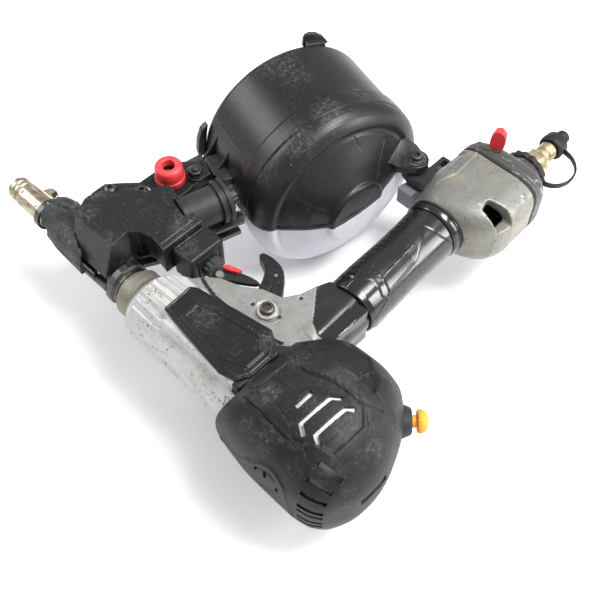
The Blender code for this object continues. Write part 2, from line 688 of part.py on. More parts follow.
VENT_WIDTH = 2.6
VENTS = (((259.3, -4.5), (259.8, 7.5)),          # the middle line of each vent
         ((272.8, -12.7), (267.0, -9.0), (268.6, 11.5), (273.2, 15.3)),
         ((281.2, -11.0), (276.6, -8.2), (278.0, 12.2), (281.8, 15.8)))
END_SLOTS = ((116, 3.2), (131, 3.2), (145.5, 3.0), (163, 1.8), (172, 1.6))   # angle, width


def ribbon(line, width):
    """The outline of a band along a line of points."""
    line = [Vector(point) for point in line]
    left, right = [], []
    for i, point in enumerate(line):
        before = (point - line[i - 1]).normalized() if i else (line[1] - point).normalized()
        after = (line[i + 1] - point).normalized() if i + 1 < len(line) else before
        aside = Vector((-before.y - after.y, before.x + after.x)).normalized()
        aside *= width / 2 / aside.dot(Vector((-before.y, before.x)))
        left.append(tuple(point + aside))
        right.append(tuple(point - aside))
    return left + right[::-1]


def head_ring(x, left, right, half, count=28):
    """A section of the head; towards the front it leans, so that the top starts later."""
    lean = max(0.0, 248.0 - x) * 0.33
    return [(x + lean * (u / half) ** 2, a, u) for a, u in oval(left, right, half, 2.7, 2.1, count)]


def make_head_protector():
    sections = [(221, -28.5, 38, 34.5), (227, -30, 44, 37.5), (236, -31.5, 53, 40.0),
                (248, -33.0, 58.5, 41.7), (264, -34.0, 59.5, 42), (280, -34.4, 56.5, 41),
                (292, -32.5, 47, 37.5), (302, -26.5, 33, 29.5), (307.5, -17, 20, 20.5),
                (HEAD_END, -7, 8, 10)]
    skin = loft([head_ring(*section) for section in sections])
    hollow = loft([head_ring(x, left + HEAD_WALL, right - HEAD_WALL, half - HEAD_WALL, 24)
                   for x, left, right, half in
                   [(215, *sections[0][1:])] + sections[:-2] + [(304.5, -22, 26, 25)]])
    cut(skin, hollow)
    cut(skin, plate([(200, 16), (231, 16), (237, 37), (243.2, 52), (243.2, 84), (200, 84)], -21, 21))
    for side in (1, -1):
        low, high = sorted((side * 30, side * 50))
        for line in VENTS:
            cut(skin, plate(ribbon(line, VENT_WIDTH), low, high))
    for angle, width in END_SLOTS:
        for side in (1, -1):
            slot = box((287, 22, -width / 2), (300.4, 50, width / 2))
            slot.data.transform(Matrix.Rotation(math.radians(side * angle), 4, "X"))
            cut(skin, slot)
    cut(skin, box((296, -8, 2.5), (316, 12, 8.5)))
    cut(skin, cone(BUTTON_BASE - BUTTON_ALONG * 9, BUTTON_BASE + BUTTON_ALONG * 18, 11.4, sides=28))
    return part(skin, "head_protector", "dark_rubber")


BUTTON_ALONG = Vector((0.72, 0.694, 0))
BUTTON_BASE = Vector((286.5, 39.0, 0))


def make_duster():
    base = turned([(0, 4.0), (0, 11.0), (6.0, 11.0), (13.5, 7.6), (13.5, 4.0)],
                  BUTTON_BASE, BUTTON_ALONG, 20)
    part(base, "duster_base", "black_rubber")
    dome = [(-2, 0), (-2, 3.6), (16.8, 3.6), (16.8, 6.6), (19.0, 6.8), (21.4, 5.8), (23.0, 3.4),
            (23.4, 0)]
    return part(turned(dome, BUTTON_BASE, BUTTON_ALONG), "duster_button", "orange_plastic")


# ---------------------------------------------------------------- trigger group

def make_trigger():
    outline = ([(200.5, 42)] + arc((195, 38), 6.2, 20, -110, 6) +
               [(184, 35), (177.5, 44), (173, 52.5), (169, 60.5), (164.5, 64.8), (157.5, 67.6),
                (156.2, 70.4), (159, 72.4), (168, 73), (176, 70.5), (182, 64.5), (187.4, 57.5),
                (194, 50)])
    blade = plate(outline, -TRIGGER_HALF, TRIGGER_HALF, 0.9)
    cut(blade, cone(TRIGGER_PIVOT - Z * 9, TRIGGER_PIVOT + Z * 9, 2.8, sides=20))
    return turn_at(part(blade, "trigger", "dark_steel"), TRIGGER_PIVOT)


def make_trigger_bolt():
    bolt = turned([(-18.5, 0), (-18.5, 4.2), (-15.4, 4.2), (-15.4, 2.45), (15.4, 2.45), (15.4, 6.0),
                   (16.5, 6.0), (16.5, 4.4), (19.2, 4.0), (19.6, 3.2), (19.6, 0)], TRIGGER_PIVOT, Z, 24)
    return part(bolt, "trigger_bolt", "worn_steel")


def make_trigger_valve():
    body = turned([(206.8, 2.4), (206.8, 5.9), (216, 5.9), (216, 2.4)], (0, PLUNGER_Y, 0), X, 20)
    part(body, "trigger_valve_body", "brass")
    plunger = turned([(189.5, 0), (190.2, 0.9), (191.6, 2.1), (195, 2.1), (195, 3.4), (196.2, 3.4),
                      (196.2, 2.1), (211, 2.1), (211, 0)], (0, PLUNGER_Y, 0), X, 16)
    part(plunger, "trigger_plunger", "spring_steel")
    spring = coil((196.5, PLUNGER_Y, 0), (206.5, PLUNGER_Y, 0), 3.3, 0.4, 4)
    part(spring, "plunger_spring", "spring_steel")


LOCK_PIVOT = Vector((153.6, 38.6, 0))


def make_lock_lever():
    leaf = plate([(150.4, 36.5), (150.8, 42), (158, 47.5), (168, 51), (175, 51.5), (170, 46.5),
                  (161, 41), (156.5, 36.6), (153, 35.2)], 6.0, 9.6, 0.6)
    cut(leaf, cone(LOCK_PIVOT, LOCK_PIVOT + Z * 20, 1.7, sides=14))
    turn_at(part(leaf, "lock_lever", "dark_steel"), LOCK_PIVOT)
    tab = plate([(151, 42.5), (152.4, 46.5), (162, 49.4), (161, 46.4), (155, 43.6)], 9.9, 12.6, 0.5)
    turn_at(part(tab, "lock_lever_tab", "red_plastic"), LOCK_PIVOT)
    pin = turned([(4.0, 0), (4.0, 1.45), (10, 1.45), (10, 2.8), (11.5, 2.4), (11.5, 0)],
                 LOCK_PIVOT, Z, 14)
    join(pin, plate([(151, 31), (151.2, 37), (153.5, 40.8), (156, 38), (155.5, 31)], 3.0, 4.8))
    return part(pin, "lock_lever_pin", "worn_steel")


# ---------------------------------------------------------------- handle

def make_grip():
    sleeve = turned([(GRIP[0], HANDLE_RADIUS + GAP), (GRIP[0], 17.6), (GRIP[0] + 4, GRIP_RADIUS),
                     (100, GRIP_RADIUS + 0.3), (125, GRIP_RADIUS - 0.3), (GRIP[1], GRIP_RADIUS + 0.4),
                     (GRIP[1], HANDLE_RADIUS + GAP)], handle_point(0), HANDLE_ALONG, 28)
    part(sleeve, "grip_sleeve", "gloss_plastic")
    collar = turned([(GRIP[1] + GAP, HANDLE_RADIUS + GAP), (GRIP[1] + GAP, 19.4),
                     (GRIP[1] + 2, 20.0), (HOUSING[0] - 1.2, 20.4), (HOUSING[0] - 1.2, HANDLE_RADIUS + GAP)],
                    handle_point(0), HANDLE_ALONG, 28)
    return part(collar, "grip_collar", "black_plastic")


def make_end_cap():
    def ring(y, left, right, half, power):
        return [(a, y, u) for a, u in oval(left, right, half, power, count=28)]

    gasket = loft([ring(y, 196, 257, 24, 4.0) for y in (HOUSING[1] + GAP, CAP[0] - GAP)])
    inner = loft([ring(y, 203, 250, 18, 3.2) for y in (210, 220)])
    part(cut(gasket, inner), "end_gasket", "black_rubber")
    cap = loft([ring(CAP[0], 196, 257, 24, 4.0), ring(223, 196.4, 257, 23.6, 3.8),
                ring(229, 199, 254, 21.5, 3.4), ring(CAP[1], 202, 251, 19.5, 3.0)])
    boss = cone((PLUG_X + 1, 228, 0), (PLUG_X + 1, 240, 0), 16.5, 13.5, sides=32)
    join(cap, boss)
    pocket = loft([ring(y, 205, 248, 16, 3.0) for y in (210, 226)])
    port = cone((PLUG_X, 220, 0), (PLUG_X, 245, 0), 6.6, sides=24)
    shaft = cone((SELECTOR.x, SELECTOR.y, 10), (SELECTOR.x, SELECTOR.y, 30), 3.0, sides=20)
    part(cut(cap, pocket, port, shaft), "end_cap", "cast_aluminium")


SELECTOR = Vector((216.5, 224.0, 0.0))


def make_selector():
    shaft = turned([(17, 0), (17, 2.7), (25.6, 2.7), (25.6, 0)], SELECTOR, Z, 20)
    part(shaft, "selector_shaft", "worn_steel")
    paddle = plate([(-4.4, 26), (4.4, 26), (5.0, 32), (4.6, 38), (1.5, 41.5), (-2.5, 41.0),
                    (-4.6, 36), (-5.0, 31)], -2.6, 2.6, 0.8, along=Y)
    paddle.data.transform(Matrix.Translation(SELECTOR * MM) @ Matrix.Rotation(math.radians(25), 4, "Z"))
    turn_at(part(paddle, "selector_lever", "red_plastic"), SELECTOR)


def make_air_plug():
    start = (PLUG_X, 0, 0)
    plug = turned([(230, 0), (230, 6.2), (243, 6.2), (243, 7.0), (248.5, 7.0), (256.5, 7.0),
                   (256.5, 5.4), (258, 5.4), (258, 6.6), (261, 6.6), (261, 5.6), (263.5, 5.6),
                   (263.5, 6.4), (270, 6.4), (270, 5.4), (277, 5.4), (277, 0)], start, Y)
    join(plug, cone((PLUG_X, 248.5, 0), (PLUG_X, 256.5, 0), 9.6, sides=6))
    cut(plug, cone((PLUG_X, 228, 0), (PLUG_X, 280, 0), 3.2, sides=16))
    part(plug, "air_plug", "brass")
    ring = turned([(240.4, 7.4), (240.4, 14.6), (242, 15.4), (244.5, 15.4), (245.2, 14.0),
                   (245.2, 7.4)], start, Y, 24)
    part(ring, "strap_ring", "black_rubber")
    cap = turned([(277.6, 0), (277.6, 6.8), (271, 6.8), (271, 8.6), (273, 9.0), (280, 8.4),
                  (280.6, 4.6), (283.5, 4.2), (284.2, 5.0), (288, 4.6), (288.6, 0)], start, Y)
    part(cap, "dust_cap", "black_rubber")


def make_cap_strap():
    route = [(247.4, 243.0), (252, 244.6), (256, 248.6), (257.8, 254), (257.8, 260), (256, 266),
             (252, 271), (247, 274.6), (241.2, 276.2)]
    strap = rod([(x, y, 0) for x, y in route], 1.2)
    return part(strap, "cap_strap", "black_rubber")


# ---------------------------------------------------------------- magazine

def drum_skin(side, wall=0.0, steps=16):
    """Half the drum's outer skin above or below its split, moved inwards by a wall."""
    profile = [(DRUM_BACK + wall, 0.0), (DRUM_BACK + wall, 30.0), (DRUM_BACK + wall, DRUM_RADIUS - 3.5),
               (DRUM_BACK + 1.0 + wall, DRUM_RADIUS - 1.0 - wall),
               (DRUM_BACK + 3.5, DRUM_RADIUS - wall), (-BAND_WIDTH, DRUM_RADIUS - wall),
               (-BAND_WIDTH + 0.2, BAND_RADIUS - wall), (0.0, BAND_RADIUS - wall),
               (5.0, 62.9 - wall), (10.0, 60.4 - wall), (13.8 - wall * 0.4, 56.0 - wall * 0.8),
               (15.6 - wall, 50.5), (17.5 - wall, 46.0), (24.0 - wall, 34.0), (29.5 - wall, 21.0),
               (32.6 - wall, 12.0), (33.4 - wall, 0.0)]
    rows = []
    for along, radius in profile:
        row = []
        for i in range(steps + 1):
            angle = math.pi * i / steps
            across = radius * math.cos(angle)
            lean = -0.15 * across * max(along, 0.0) / 25
            row.append(drum_point(along + lean, across, side * radius * math.sin(angle)))
        rows.append(row)
    return rows


def drum_half(side, steps=16):
    """A half drum with a wall: its skin, its inner skin, and the rim that joins them."""
    outer, inner = drum_skin(side, 0.0, steps), drum_skin(side, DRUM_WALL, steps)
    lift = Z * (0.15 * side)
    work = bmesh.new()
    skins = [[[work.verts.new(point + lift) for point in row] for row in rows]
             for rows in (outer, inner)]
    for rows in skins:
        for row, following in zip(rows, rows[1:]):
            for i in range(steps):
                face = [row[i], row[i + 1], following[i + 1], following[i]]
                work.faces.new(face)
    for end in (0, steps):
        for i in range(len(outer) - 1):
            work.faces.new((skins[0][i][end], skins[0][i + 1][end], skins[1][i + 1][end],
                            skins[1][i][end]))
    for face in list(work.faces):
        if face.calc_area() < 1e-9:
            work.faces.remove(face)
    return from_bmesh("drum_half", work)


def along_drum(low, high, across, up, radius, sides=16):
    return cone(drum_point(low, across, up), drum_point(high, across, up), radius, sides=sides)


def drum_box(along, across, up):
    """A box in the drum's own frame."""
    item = box((along[0], across[0], up[0]), (along[1], across[1], up[1]))
    place = Matrix.Translation(DRUM_CENTRE * MM) @ Matrix.Rotation(-DRUM_TILT, 4, "Z")
    item.data.transform(place)
    return item


def make_magazine():
    body = drum_half(1)
    for low, high in ((-56, -43), (-25.5, -13.2)):
        join(body, along_drum(low, high, HINGE_OUT, HINGE_DROP, 3.8),
             drum_box((low + 0.4, high - 0.4), (60.6, HINGE_OUT), (0.6, 2.5)))
    lug = plate([(160, 184), (163, 199)] + arc((177.1, 193.7), 8.6, 100, -70, 8) + [(168, 178)],
                2.2, 9.6, 0.6)
    join(body, lug)
    tongue = plate([(79.5, 95), (84, 106), (108, 99), (103, 88.5), (94.6, 88.6)], 8.4, 14.6)
    join(body, tongue)
    window = drum_box((-60, -2), (-70, -50), (-6, 6.5))
    cut(body, window, along_drum(-58, -8, HINGE_OUT, HINGE_DROP, 1.6),
        cone((177.1, 193.7, 0), (177.1, 193.7, 12), 2.6, sides=16))
    part(body, "magazine_body", "black_plastic", 30)
    cover = drum_half(-1)
    join(cover, along_drum(-42.6, -25.9, HINGE_OUT, HINGE_DROP, 3.8),
         drum_box((-42.2, -26.3), (60.6, HINGE_OUT - 1), (-3.6, -1.2)))
    cut(cover, drum_box((-60, -2), (-70, -50), (-7, 6.5)),
        along_drum(-58, -8, HINGE_OUT, HINGE_DROP, 1.6))
    turn_at(part(cover, "magazine_cover", "clear_plastic", 30), drum_point(-33, HINGE_OUT, HINGE_DROP))
    part(along_drum(-57, -9, HINGE_OUT, HINGE_DROP, 1.35, 14), "magazine_hinge_pin", "spring_steel")


def make_coil_tray():
    post = turned([(-61.5, 0), (-61.5, 11), (-59.5, 11), (-59.5, 6.0), (-24, 6.0), (-22, 5.0),
                   (-22, 0)], DRUM_CENTRE, DRUM_ALONG, 24)
    part(post, "tray_post", "black_plastic")
    tray = turned([(-57.5, 6.5), (-57.5, 50), (-55.0, 52), (-53.8, 52), (-55.4, 49), (-55.4, 12),
                   (-46, 10), (-46, 6.5)], DRUM_CENTRE, DRUM_ALONG, 28)
    part(tray, "coil_tray", "grey_plastic")


def make_magazine_bracket():
    arm = plate([(171.6, 187), (172, 199), (177, 203.4), (184, 200), (184, 215), (195.6, 215),
                 (195.6, 188), (188, 185), (180, 184)], -6.0, 1.8, 0.8)
    cut(arm, cone((177.1, 193.7, -9), (177.1, 193.7, 12), 2.6, sides=16))
    cut(arm, box((187.6, 203, -9), (191.6, 212, 9)))
    part(arm, "magazine_bracket", "black_plastic")
    block = box((176.5, 177.5, -20), (188, 184.5, -6.4), 0.8)
    tail = box((176.5, 184.0, -20), (195.6, 198, -8.0), 0.6)
    part(join(block, tail), "bracket_foot", "grey_plastic")
    bolt = turned([(-10, 0), (-10, 2.4), (0, 2.4), (0, 5.2), (1.0, 5.2), (1.0, 4.2), (4.0, 3.8),
                   (4.4, 3.0), (4.4, 0)], (177.1, 193.7, 9.9), Z, 20)
    part(bolt, "magazine_bolt", "worn_steel")


def build_all():
    clear_scene()
    make_contact_tip()
    make_push_lever()
    make_push_spring()
    make_nose_body()
    make_nose_guard()
    make_nose_cover()
    make_cover_screws()
    make_adjuster_housing()
    make_depth_dial()
    make_feeder()
    make_magazine_neck()
    make_neck_bolt()
    make_spare_nose_cap()
    make_door()
    make_door_hinge()
    make_door_latch()
    make_body_casting()
    make_side_plates()
    make_cylinder()
    make_head_valve()
    make_cylinder_cap()
    make_head_protector()
    make_duster()
    make_trigger()
    make_trigger_bolt()
    make_trigger_valve()
    make_lock_lever()
    make_grip()
    make_end_cap()
    make_selector()
    make_air_plug()
    make_cap_strap()
    make_magazine()
    make_coil_tray()
    make_magazine_bracket()


build_all()
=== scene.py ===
"""The looks of the coil roofing nailer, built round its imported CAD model."""
import math

import bmesh
import bpy
import numpy as np
from mathutils import Matrix, Vector


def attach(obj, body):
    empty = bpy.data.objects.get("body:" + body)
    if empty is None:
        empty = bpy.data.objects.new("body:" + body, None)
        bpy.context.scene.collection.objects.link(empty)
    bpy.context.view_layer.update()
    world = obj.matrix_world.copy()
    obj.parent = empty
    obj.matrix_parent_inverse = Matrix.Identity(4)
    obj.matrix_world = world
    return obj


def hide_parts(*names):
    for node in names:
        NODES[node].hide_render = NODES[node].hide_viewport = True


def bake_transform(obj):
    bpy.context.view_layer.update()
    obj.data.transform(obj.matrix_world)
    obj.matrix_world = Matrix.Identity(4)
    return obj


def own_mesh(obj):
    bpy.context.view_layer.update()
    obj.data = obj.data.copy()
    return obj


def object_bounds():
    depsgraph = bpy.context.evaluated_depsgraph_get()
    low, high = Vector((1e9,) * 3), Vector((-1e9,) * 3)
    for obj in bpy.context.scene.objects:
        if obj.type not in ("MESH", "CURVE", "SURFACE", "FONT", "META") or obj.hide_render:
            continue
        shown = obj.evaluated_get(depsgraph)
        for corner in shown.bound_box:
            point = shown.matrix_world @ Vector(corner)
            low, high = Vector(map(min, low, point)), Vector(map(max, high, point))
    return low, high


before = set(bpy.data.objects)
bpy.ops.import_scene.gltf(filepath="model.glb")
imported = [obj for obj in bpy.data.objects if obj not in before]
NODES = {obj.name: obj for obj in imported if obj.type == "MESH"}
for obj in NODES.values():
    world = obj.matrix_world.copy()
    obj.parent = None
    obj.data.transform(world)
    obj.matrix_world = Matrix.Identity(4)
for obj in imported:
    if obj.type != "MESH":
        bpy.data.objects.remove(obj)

MM = 0.001
BODY = "tool_body"
CAD_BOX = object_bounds()


# ---------------------------------------------------------------- materials

class Shader:
    """A node tree with one Principled shader, and short ways to add to it."""

    def __init__(self, name):
        self.material = bpy.data.materials.new(name)
        self.material.use_nodes = True
        self.tree = self.material.node_tree
        self.shader = self.tree.nodes["Principled BSDF"]
        self.place = self.add("ShaderNodeTexCoord").outputs["Object"]

    def add(self, kind, **settings):
        node = self.tree.nodes.new(kind)
        for key, value in settings.items():
            setattr(node, key, value)
        return node

    def link(self, source, target):
        self.tree.links.new(source, target)

    def put(self, socket, value):
        """Sets a socket to a number or colour, or links it to an output."""
        if isinstance(value, bpy.types.NodeSocket):
            self.link(value, socket)
        elif isinstance(value, tuple) and len(value) == 3 and socket.type == "RGBA":
            socket.default_value = (*value, 1.0)
        else:
            socket.default_value = value

    def noise(self, scale, detail=4.0, rough=0.6, stretch=None, shift=0.0, distortion=0.0):
        node = self.add("ShaderNodeTexNoise")
        node.inputs["Scale"].default_value = scale
        node.inputs["Detail"].default_value = detail
        node.inputs["Roughness"].default_value = rough
        node.inputs["Distortion"].default_value = distortion
        place = self.place
        if stretch or shift:
            mapping = self.add("ShaderNodeMapping")
            mapping.inputs["Scale"].default_value = stretch or (1, 1, 1)
            mapping.inputs["Location"].default_value = (shift, shift, shift)
            self.link(place, mapping.inputs["Vector"])
            place = mapping.outputs["Vector"]
        self.link(place, node.inputs["Vector"])
        return node.outputs["Fac"]

    def step(self, value, low, high, to_low=0.0, to_high=1.0):
        """A smooth ramp of a value from low to high."""
        node = self.add("ShaderNodeMapRange", interpolation_type="SMOOTHSTEP")
        self.link(value, node.inputs["Value"])
        for key, number in (("From Min", low), ("From Max", high), ("To Min", to_low), ("To Max", to_high)):
            node.inputs[key].default_value = number
        return node.outputs["Result"]

    def math(self, operation, a, b):
        node = self.add("ShaderNodeMath", operation=operation, use_clamp=operation != "SUBTRACT")
        self.put(node.inputs[0], a)
        self.put(node.inputs[1], b)
        return node.outputs["Value"]

    def mix(self, share, a, b):
        node = self.add("ShaderNodeMix", data_type="RGBA")
        self.put(node.inputs["Factor"], share)
        self.put(node.inputs[6], a)
        self.put(node.inputs[7], b)
        return node.outputs[2]

    def near(self, point, reach):
        """White at a point, given in millimetres, and black beyond its reach."""
        node = self.add("ShaderNodeVectorMath", operation="DISTANCE")
        self.link(self.place, node.inputs[0])
        node.inputs[1].default_value = [c * MM for c in point]
        return self.step(node.outputs["Value"], reach * MM, reach * 0.25 * MM)

    def edges(self, low=0.53, high=0.6):
        """White where the surface is convex."""
        return self.step(self.add("ShaderNodeNewGeometry").outputs["Pointiness"], low, high)

    # White in concave hollows: the mask that paints shade into them.
    def shade_in_hollows(self):
        return self.step(self.add("ShaderNodeNewGeometry").outputs["Pointiness"], 0.47, 0.40)

    def bump(self, height, strength, distance=0.0004, under=None):
        node = self.add("ShaderNodeBump")
        node.inputs["Strength"].default_value = strength
        node.inputs["Distance"].default_value = distance
        self.link(height, node.inputs["Height"])
        if under:
            self.link(under, node.inputs["Normal"])
        return node.outputs["Normal"]

    def done(self, colour, roughness, metallic=0.0, normal=None, **extra):
        self.put(self.shader.inputs["Base Color"], colour)
        self.put(self.shader.inputs["Roughness"], roughness)
        self.put(self.shader.inputs["Metallic"], metallic)
        if normal:
            self.link(normal, self.shader.inputs["Normal"])
        for key, value in extra.items():
            self.shader.inputs[key.replace("_", " ")].default_value = value
        return self.material


def worn_moulding(name, base, scuff, rough=(0.38, 0.62), scuffed=0.5, grain=1400, edge_wear=0.6,
                  bump=0.25, specular=0.5, rubs=(), smudges=()):
    """Black plastic or rubber: blotches of rubbed grey, fine scratches, lighter edges, fine grain.
    Rubs are (point, reach, strength) where it is worn pale, and smudges where it is dirty."""
    s = Shader(name)
    blotch = s.step(s.noise(38, 5, 0.65, shift=3.1), 0.66 - 0.24 * scuffed, 0.86 - 0.16 * scuffed)
    speck = s.step(s.noise(420, 3, 0.7), 0.5, 0.72)
    fine = s.noise(grain, 2, 0.5)
    scratch_a = s.step(s.noise(160, 2, 0.5, stretch=(1.0, 14.0, 6.0), distortion=0.4), 0.655, 0.69)
    scratch_b = s.step(s.noise(150, 2, 0.5, stretch=(11.0, 1.2, 5.0), shift=7.0, distortion=0.5), 0.665, 0.70)
    scratches = s.math("ADD", scratch_a, scratch_b)
    rubbed = s.math("MULTIPLY", blotch, s.math("ADD", speck, 0.35))
    edge = s.math("MULTIPLY", s.edges(), s.step(s.noise(210, 4), 0.36, 0.62, 0.15, edge_wear))
    share = s.math("ADD", s.math("MULTIPLY", rubbed, scuffed), edge)
    share = s.math("ADD", share, s.math("MULTIPLY", scratches, 0.35 * scuffed + 0.06))
    if rubs:
        torn = s.step(s.noise(430, 6, 0.8, shift=6.0, distortion=0.8), 0.44, 0.66)
        for point, reach, strength in rubs:
            spot = s.math("MULTIPLY", s.near(point, reach), torn)
            share = s.math("ADD", share, s.math("MULTIPLY", spot, strength * 0.7))
    tone = s.mix(s.step(s.noise(17, 3, 0.5, shift=1.7), 0.35, 0.68), tuple(c * 0.72 for c in base), base)
    colour = s.mix(share, tone, scuff)
    for point, reach, strength in smudges:
        dirt = s.step(s.noise(150, 5, 0.7, shift=8.0), 0.42, 0.60)
        colour = s.mix(s.math("MULTIPLY", s.math("MULTIPLY", s.near(point, reach), dirt), strength), colour,
                       tuple(c * 0.35 for c in base))
    roughness = s.math("ADD", s.step(fine, 0.3, 0.7, rough[0], rough[0] + 0.08),
                       s.math("MULTIPLY", share, rough[1] - rough[0]))
    relief = s.math("ADD", s.math("MULTIPLY", fine, 0.5), s.math("MULTIPLY", scratches, 0.35))
    normal = s.bump(relief, bump, 0.00012)
    normal = s.bump(s.noise(60, 3, 0.5, shift=2.0), bump * 0.5, 0.0008, normal)
    return s.done(colour, roughness, 0.0, normal, Specular_IOR_Level=specular)


CAST_STAIN = (0.30, 0.26, 0.19)


def cast_metal(name, base, dark, metallic, rough, pits, stained=0.2):
    """Die-cast aluminium under worn silver paint: speckled, pitted and stained, with painted shade darkening
    its hollows.
    """
    s = Shader(name)
    speck = s.step(s.noise(520, 4, 0.75), 0.56, 0.66)
    clumps = s.step(s.noise(75, 4, 0.6, shift=5.0), 0.46, 0.60)
    marks = s.math("MULTIPLY", s.math("MULTIPLY", speck, clumps), pits)
    # Painted shade: concave hollows are darkened towards the dark colour, as if shaded.
    hollow = s.math("MULTIPLY", s.shade_in_hollows(), 0.6)
    dirt = s.math("MULTIPLY", s.step(s.noise(26, 4, 0.6, shift=9.0), 0.5, 0.7), stained)
    tone = s.mix(s.step(s.noise(130, 4, 0.7, shift=2.0), 0.35, 0.65), tuple(c * 0.84 for c in base), base)
    colour = s.mix(s.math("ADD", marks, hollow), s.mix(dirt, tone, CAST_STAIN), dark)
    fine = s.noise(900, 3, 0.6)
    roughness = s.math("ADD", s.step(fine, 0.3, 0.7, rough - 0.08, rough + 0.08),
                       s.math("MULTIPLY", marks, 0.3))
    relief = s.math("SUBTRACT", s.math("MULTIPLY", fine, 0.4), marks)
    normal = s.bump(relief, 0.35, 0.00025)
    return s.done(colour, roughness, metallic, normal)


PAINT_PATCHES = 150
BARE_METALLIC = 0.7


def flaked_paint(name, paint, metal, share):
    """Paint that has flaked off in patches and shows the metal."""
    s = Shader(name)
    patches = s.math("ADD", s.math("MULTIPLY", s.noise(PAINT_PATCHES, 5, 0.7, distortion=0.8), 0.75),
                     s.math("MULTIPLY", s.edges(0.5, 0.58), 0.12))
    bare = s.step(patches, 0.44 - 0.16 * (share - 0.5), 0.455 - 0.16 * (share - 0.5))
    tone = s.mix(s.noise(500, 3), tuple(c * 0.7 for c in metal), metal)
    colour = s.mix(bare, paint, tone)
    roughness = s.step(bare, 0.0, 1.0, 0.42, 0.5)
    normal = s.bump(s.math("SUBTRACT", s.math("MULTIPLY", s.noise(800, 2), 0.3), bare), 0.6, 0.0002)
    return s.done(colour, roughness, s.math("MULTIPLY", bare, BARE_METALLIC), normal)


def steel(name, base, dark, rough=0.32, brushed=0.4, worn=0.35, rust=0.0):
    """Bare or blackened steel with stains, streaks and rubbed edges."""
    s = Shader(name)
    stain = s.step(s.noise(180, 5, 0.7, distortion=0.6), 0.46, 0.66)
    streak = s.noise(400, 3, 0.6, stretch=(0.2, 3.0, 3.0))
    tone = s.mix(s.math("MULTIPLY", stain, worn), base, dark)
    tone = s.mix(s.math("MULTIPLY", s.edges(), 0.5), tone, tuple(min(1.0, c * 1.5 + 0.05) for c in base))
    if rust:
        rusted = s.step(s.noise(260, 5, 0.75, shift=4.0), 0.56 - 0.14 * rust, 0.64 - 0.1 * rust)
        tone = s.mix(s.math("MULTIPLY", rusted, rust), tone, (0.20, 0.085, 0.035))
    roughness = s.math("ADD", s.step(streak, 0.3, 0.7, rough - 0.1 * brushed, rough + 0.25 * brushed),
                       s.math("MULTIPLY", stain, 0.18))
    relief = s.math("ADD", s.math("MULTIPLY", streak, 0.5), s.math("MULTIPLY", stain, 0.4))
    normal = s.bump(relief, 0.25, 0.00015)
    return s.done(tone, roughness, 1.0, normal)


def bright_plastic(name, base, dull, rough=0.42):
    """Coloured plastic with faded, dirty patches and a fine grain."""
    s = Shader(name)
    faded = s.step(s.noise(120, 4, 0.6), 0.42, 0.68)
    dirt = s.math("MULTIPLY", s.step(s.noise(330, 4, 0.75), 0.58, 0.66), 0.35)
    colour = s.mix(dirt, s.mix(s.math("MULTIPLY", faded, 0.5), base, dull), tuple(c * 0.35 for c in base))
    normal = s.bump(s.noise(900, 3), 0.25, 0.00015)
    return s.done(colour, s.step(s.noise(300, 3), 0.3, 0.7, rough - 0.06, rough + 0.14), 0.0, normal)


def frosted(name):
    """Clear plastic gone milky with use."""
    s = Shader(name)
    haze = s.noise(60, 4, 0.6)
    scratches = s.step(s.noise(190, 2, 0.5, stretch=(1.0, 12.0, 5.0)), 0.64, 0.69)
    colour = s.mix(s.step(haze, 0.3, 0.7), (0.86, 0.82, 0.91), (0.93, 0.90, 0.97))
    roughness = s.math("ADD", s.step(haze, 0.3, 0.7, 0.34, 0.48), s.math("MULTIPLY", scratches, 0.2))
    return s.done(colour, roughness, 0.0, s.bump(scratches, 0.1, 0.0001), Transmission_Weight=0.35, IOR=1.46)


def grip_gloss(name):
    """The grip's hard black plastic, polished by hands, with hairline scratches."""
    s = Shader(name)
    hair = s.step(s.noise(230, 2, 0.5, stretch=(1.0, 0.25, 1.0), distortion=1.2), 0.655, 0.685)
    wipe = s.noise(45, 4, 0.6, stretch=(1.0, 0.35, 1.0))
    dulled = s.math("MULTIPLY", s.step(wipe, 0.5, 0.72), 0.35)
    colour = s.mix(dulled, (0.009, 0.009, 0.010), (0.045, 0.046, 0.045))
    roughness = s.math("ADD", s.step(wipe, 0.3, 0.7, 0.13, 0.27), s.math("MULTIPLY", hair, 0.2))
    normal = s.bump(s.math("ADD", hair, s.noise(700, 2)), 0.12, 0.0001)
    return s.done(colour, roughness, 0.0, normal, Specular_IOR_Level=0.6)


# Where the mouldings are rubbed pale: a point, how far it reaches, and how strong it is.
HEAD_RUBS = (((242.5, -7.4, 39), 9, 1.3), ((256, -26, 28.6), 11, 0.9), ((244, -25, 28.4), 8, 0.8),
             ((283.7, 5.9, 39.7), 11, 0.9), ((301, 9.8, 29.3), 9, 1.0), ((308, -13.7, 6.9), 12, 0.8),
             ((278.7, -28, 27.6), 10, 0.5), ((282, 19, 39.8), 9, 0.6), ((262, 2, 42), 8, 0.7),
             ((240, 18, 40), 12, 0.5), ((291, -20, 31), 8, 0.6))
GUARD_RUBS = (((44, 2, 14), 9, 0.9), ((60, -8, 13), 10, 0.9), ((52, 12, 14), 8, 0.7))
COVER_RUBS = (((64, -8, 14), 10, 0.9), ((72, 6, 28), 12, 0.6), ((100, 0, 26), 12, 0.6),
              ((66, 22, 28), 9, 0.7), ((118, 46, 28), 12, 0.5), ((126, 36, 28), 12, 0.6),
              ((98, 10, 18), 10, 0.5), ((136, 32, 26), 10, 0.5))
DRUM_RUBS = (((86.8, 154.8, 62.3), 20, 0.6), ((106.8, 153.8, 62.8), 15, 0.4), ((142.6, 143.3, 64.1), 14, 0.8),
             ((141.2, 118.2, 57.0), 16, 0.7), ((134.2, 98.7, 40.2), 14, 0.4), ((142.5, 171.2, 60.2), 14, 0.5),
             ((81, 128, 58), 16, 0.5))
PLATE_RUBS = (((181, 4, 32), 13, 0.6), ((216, 17, 31), 8, 0.6))
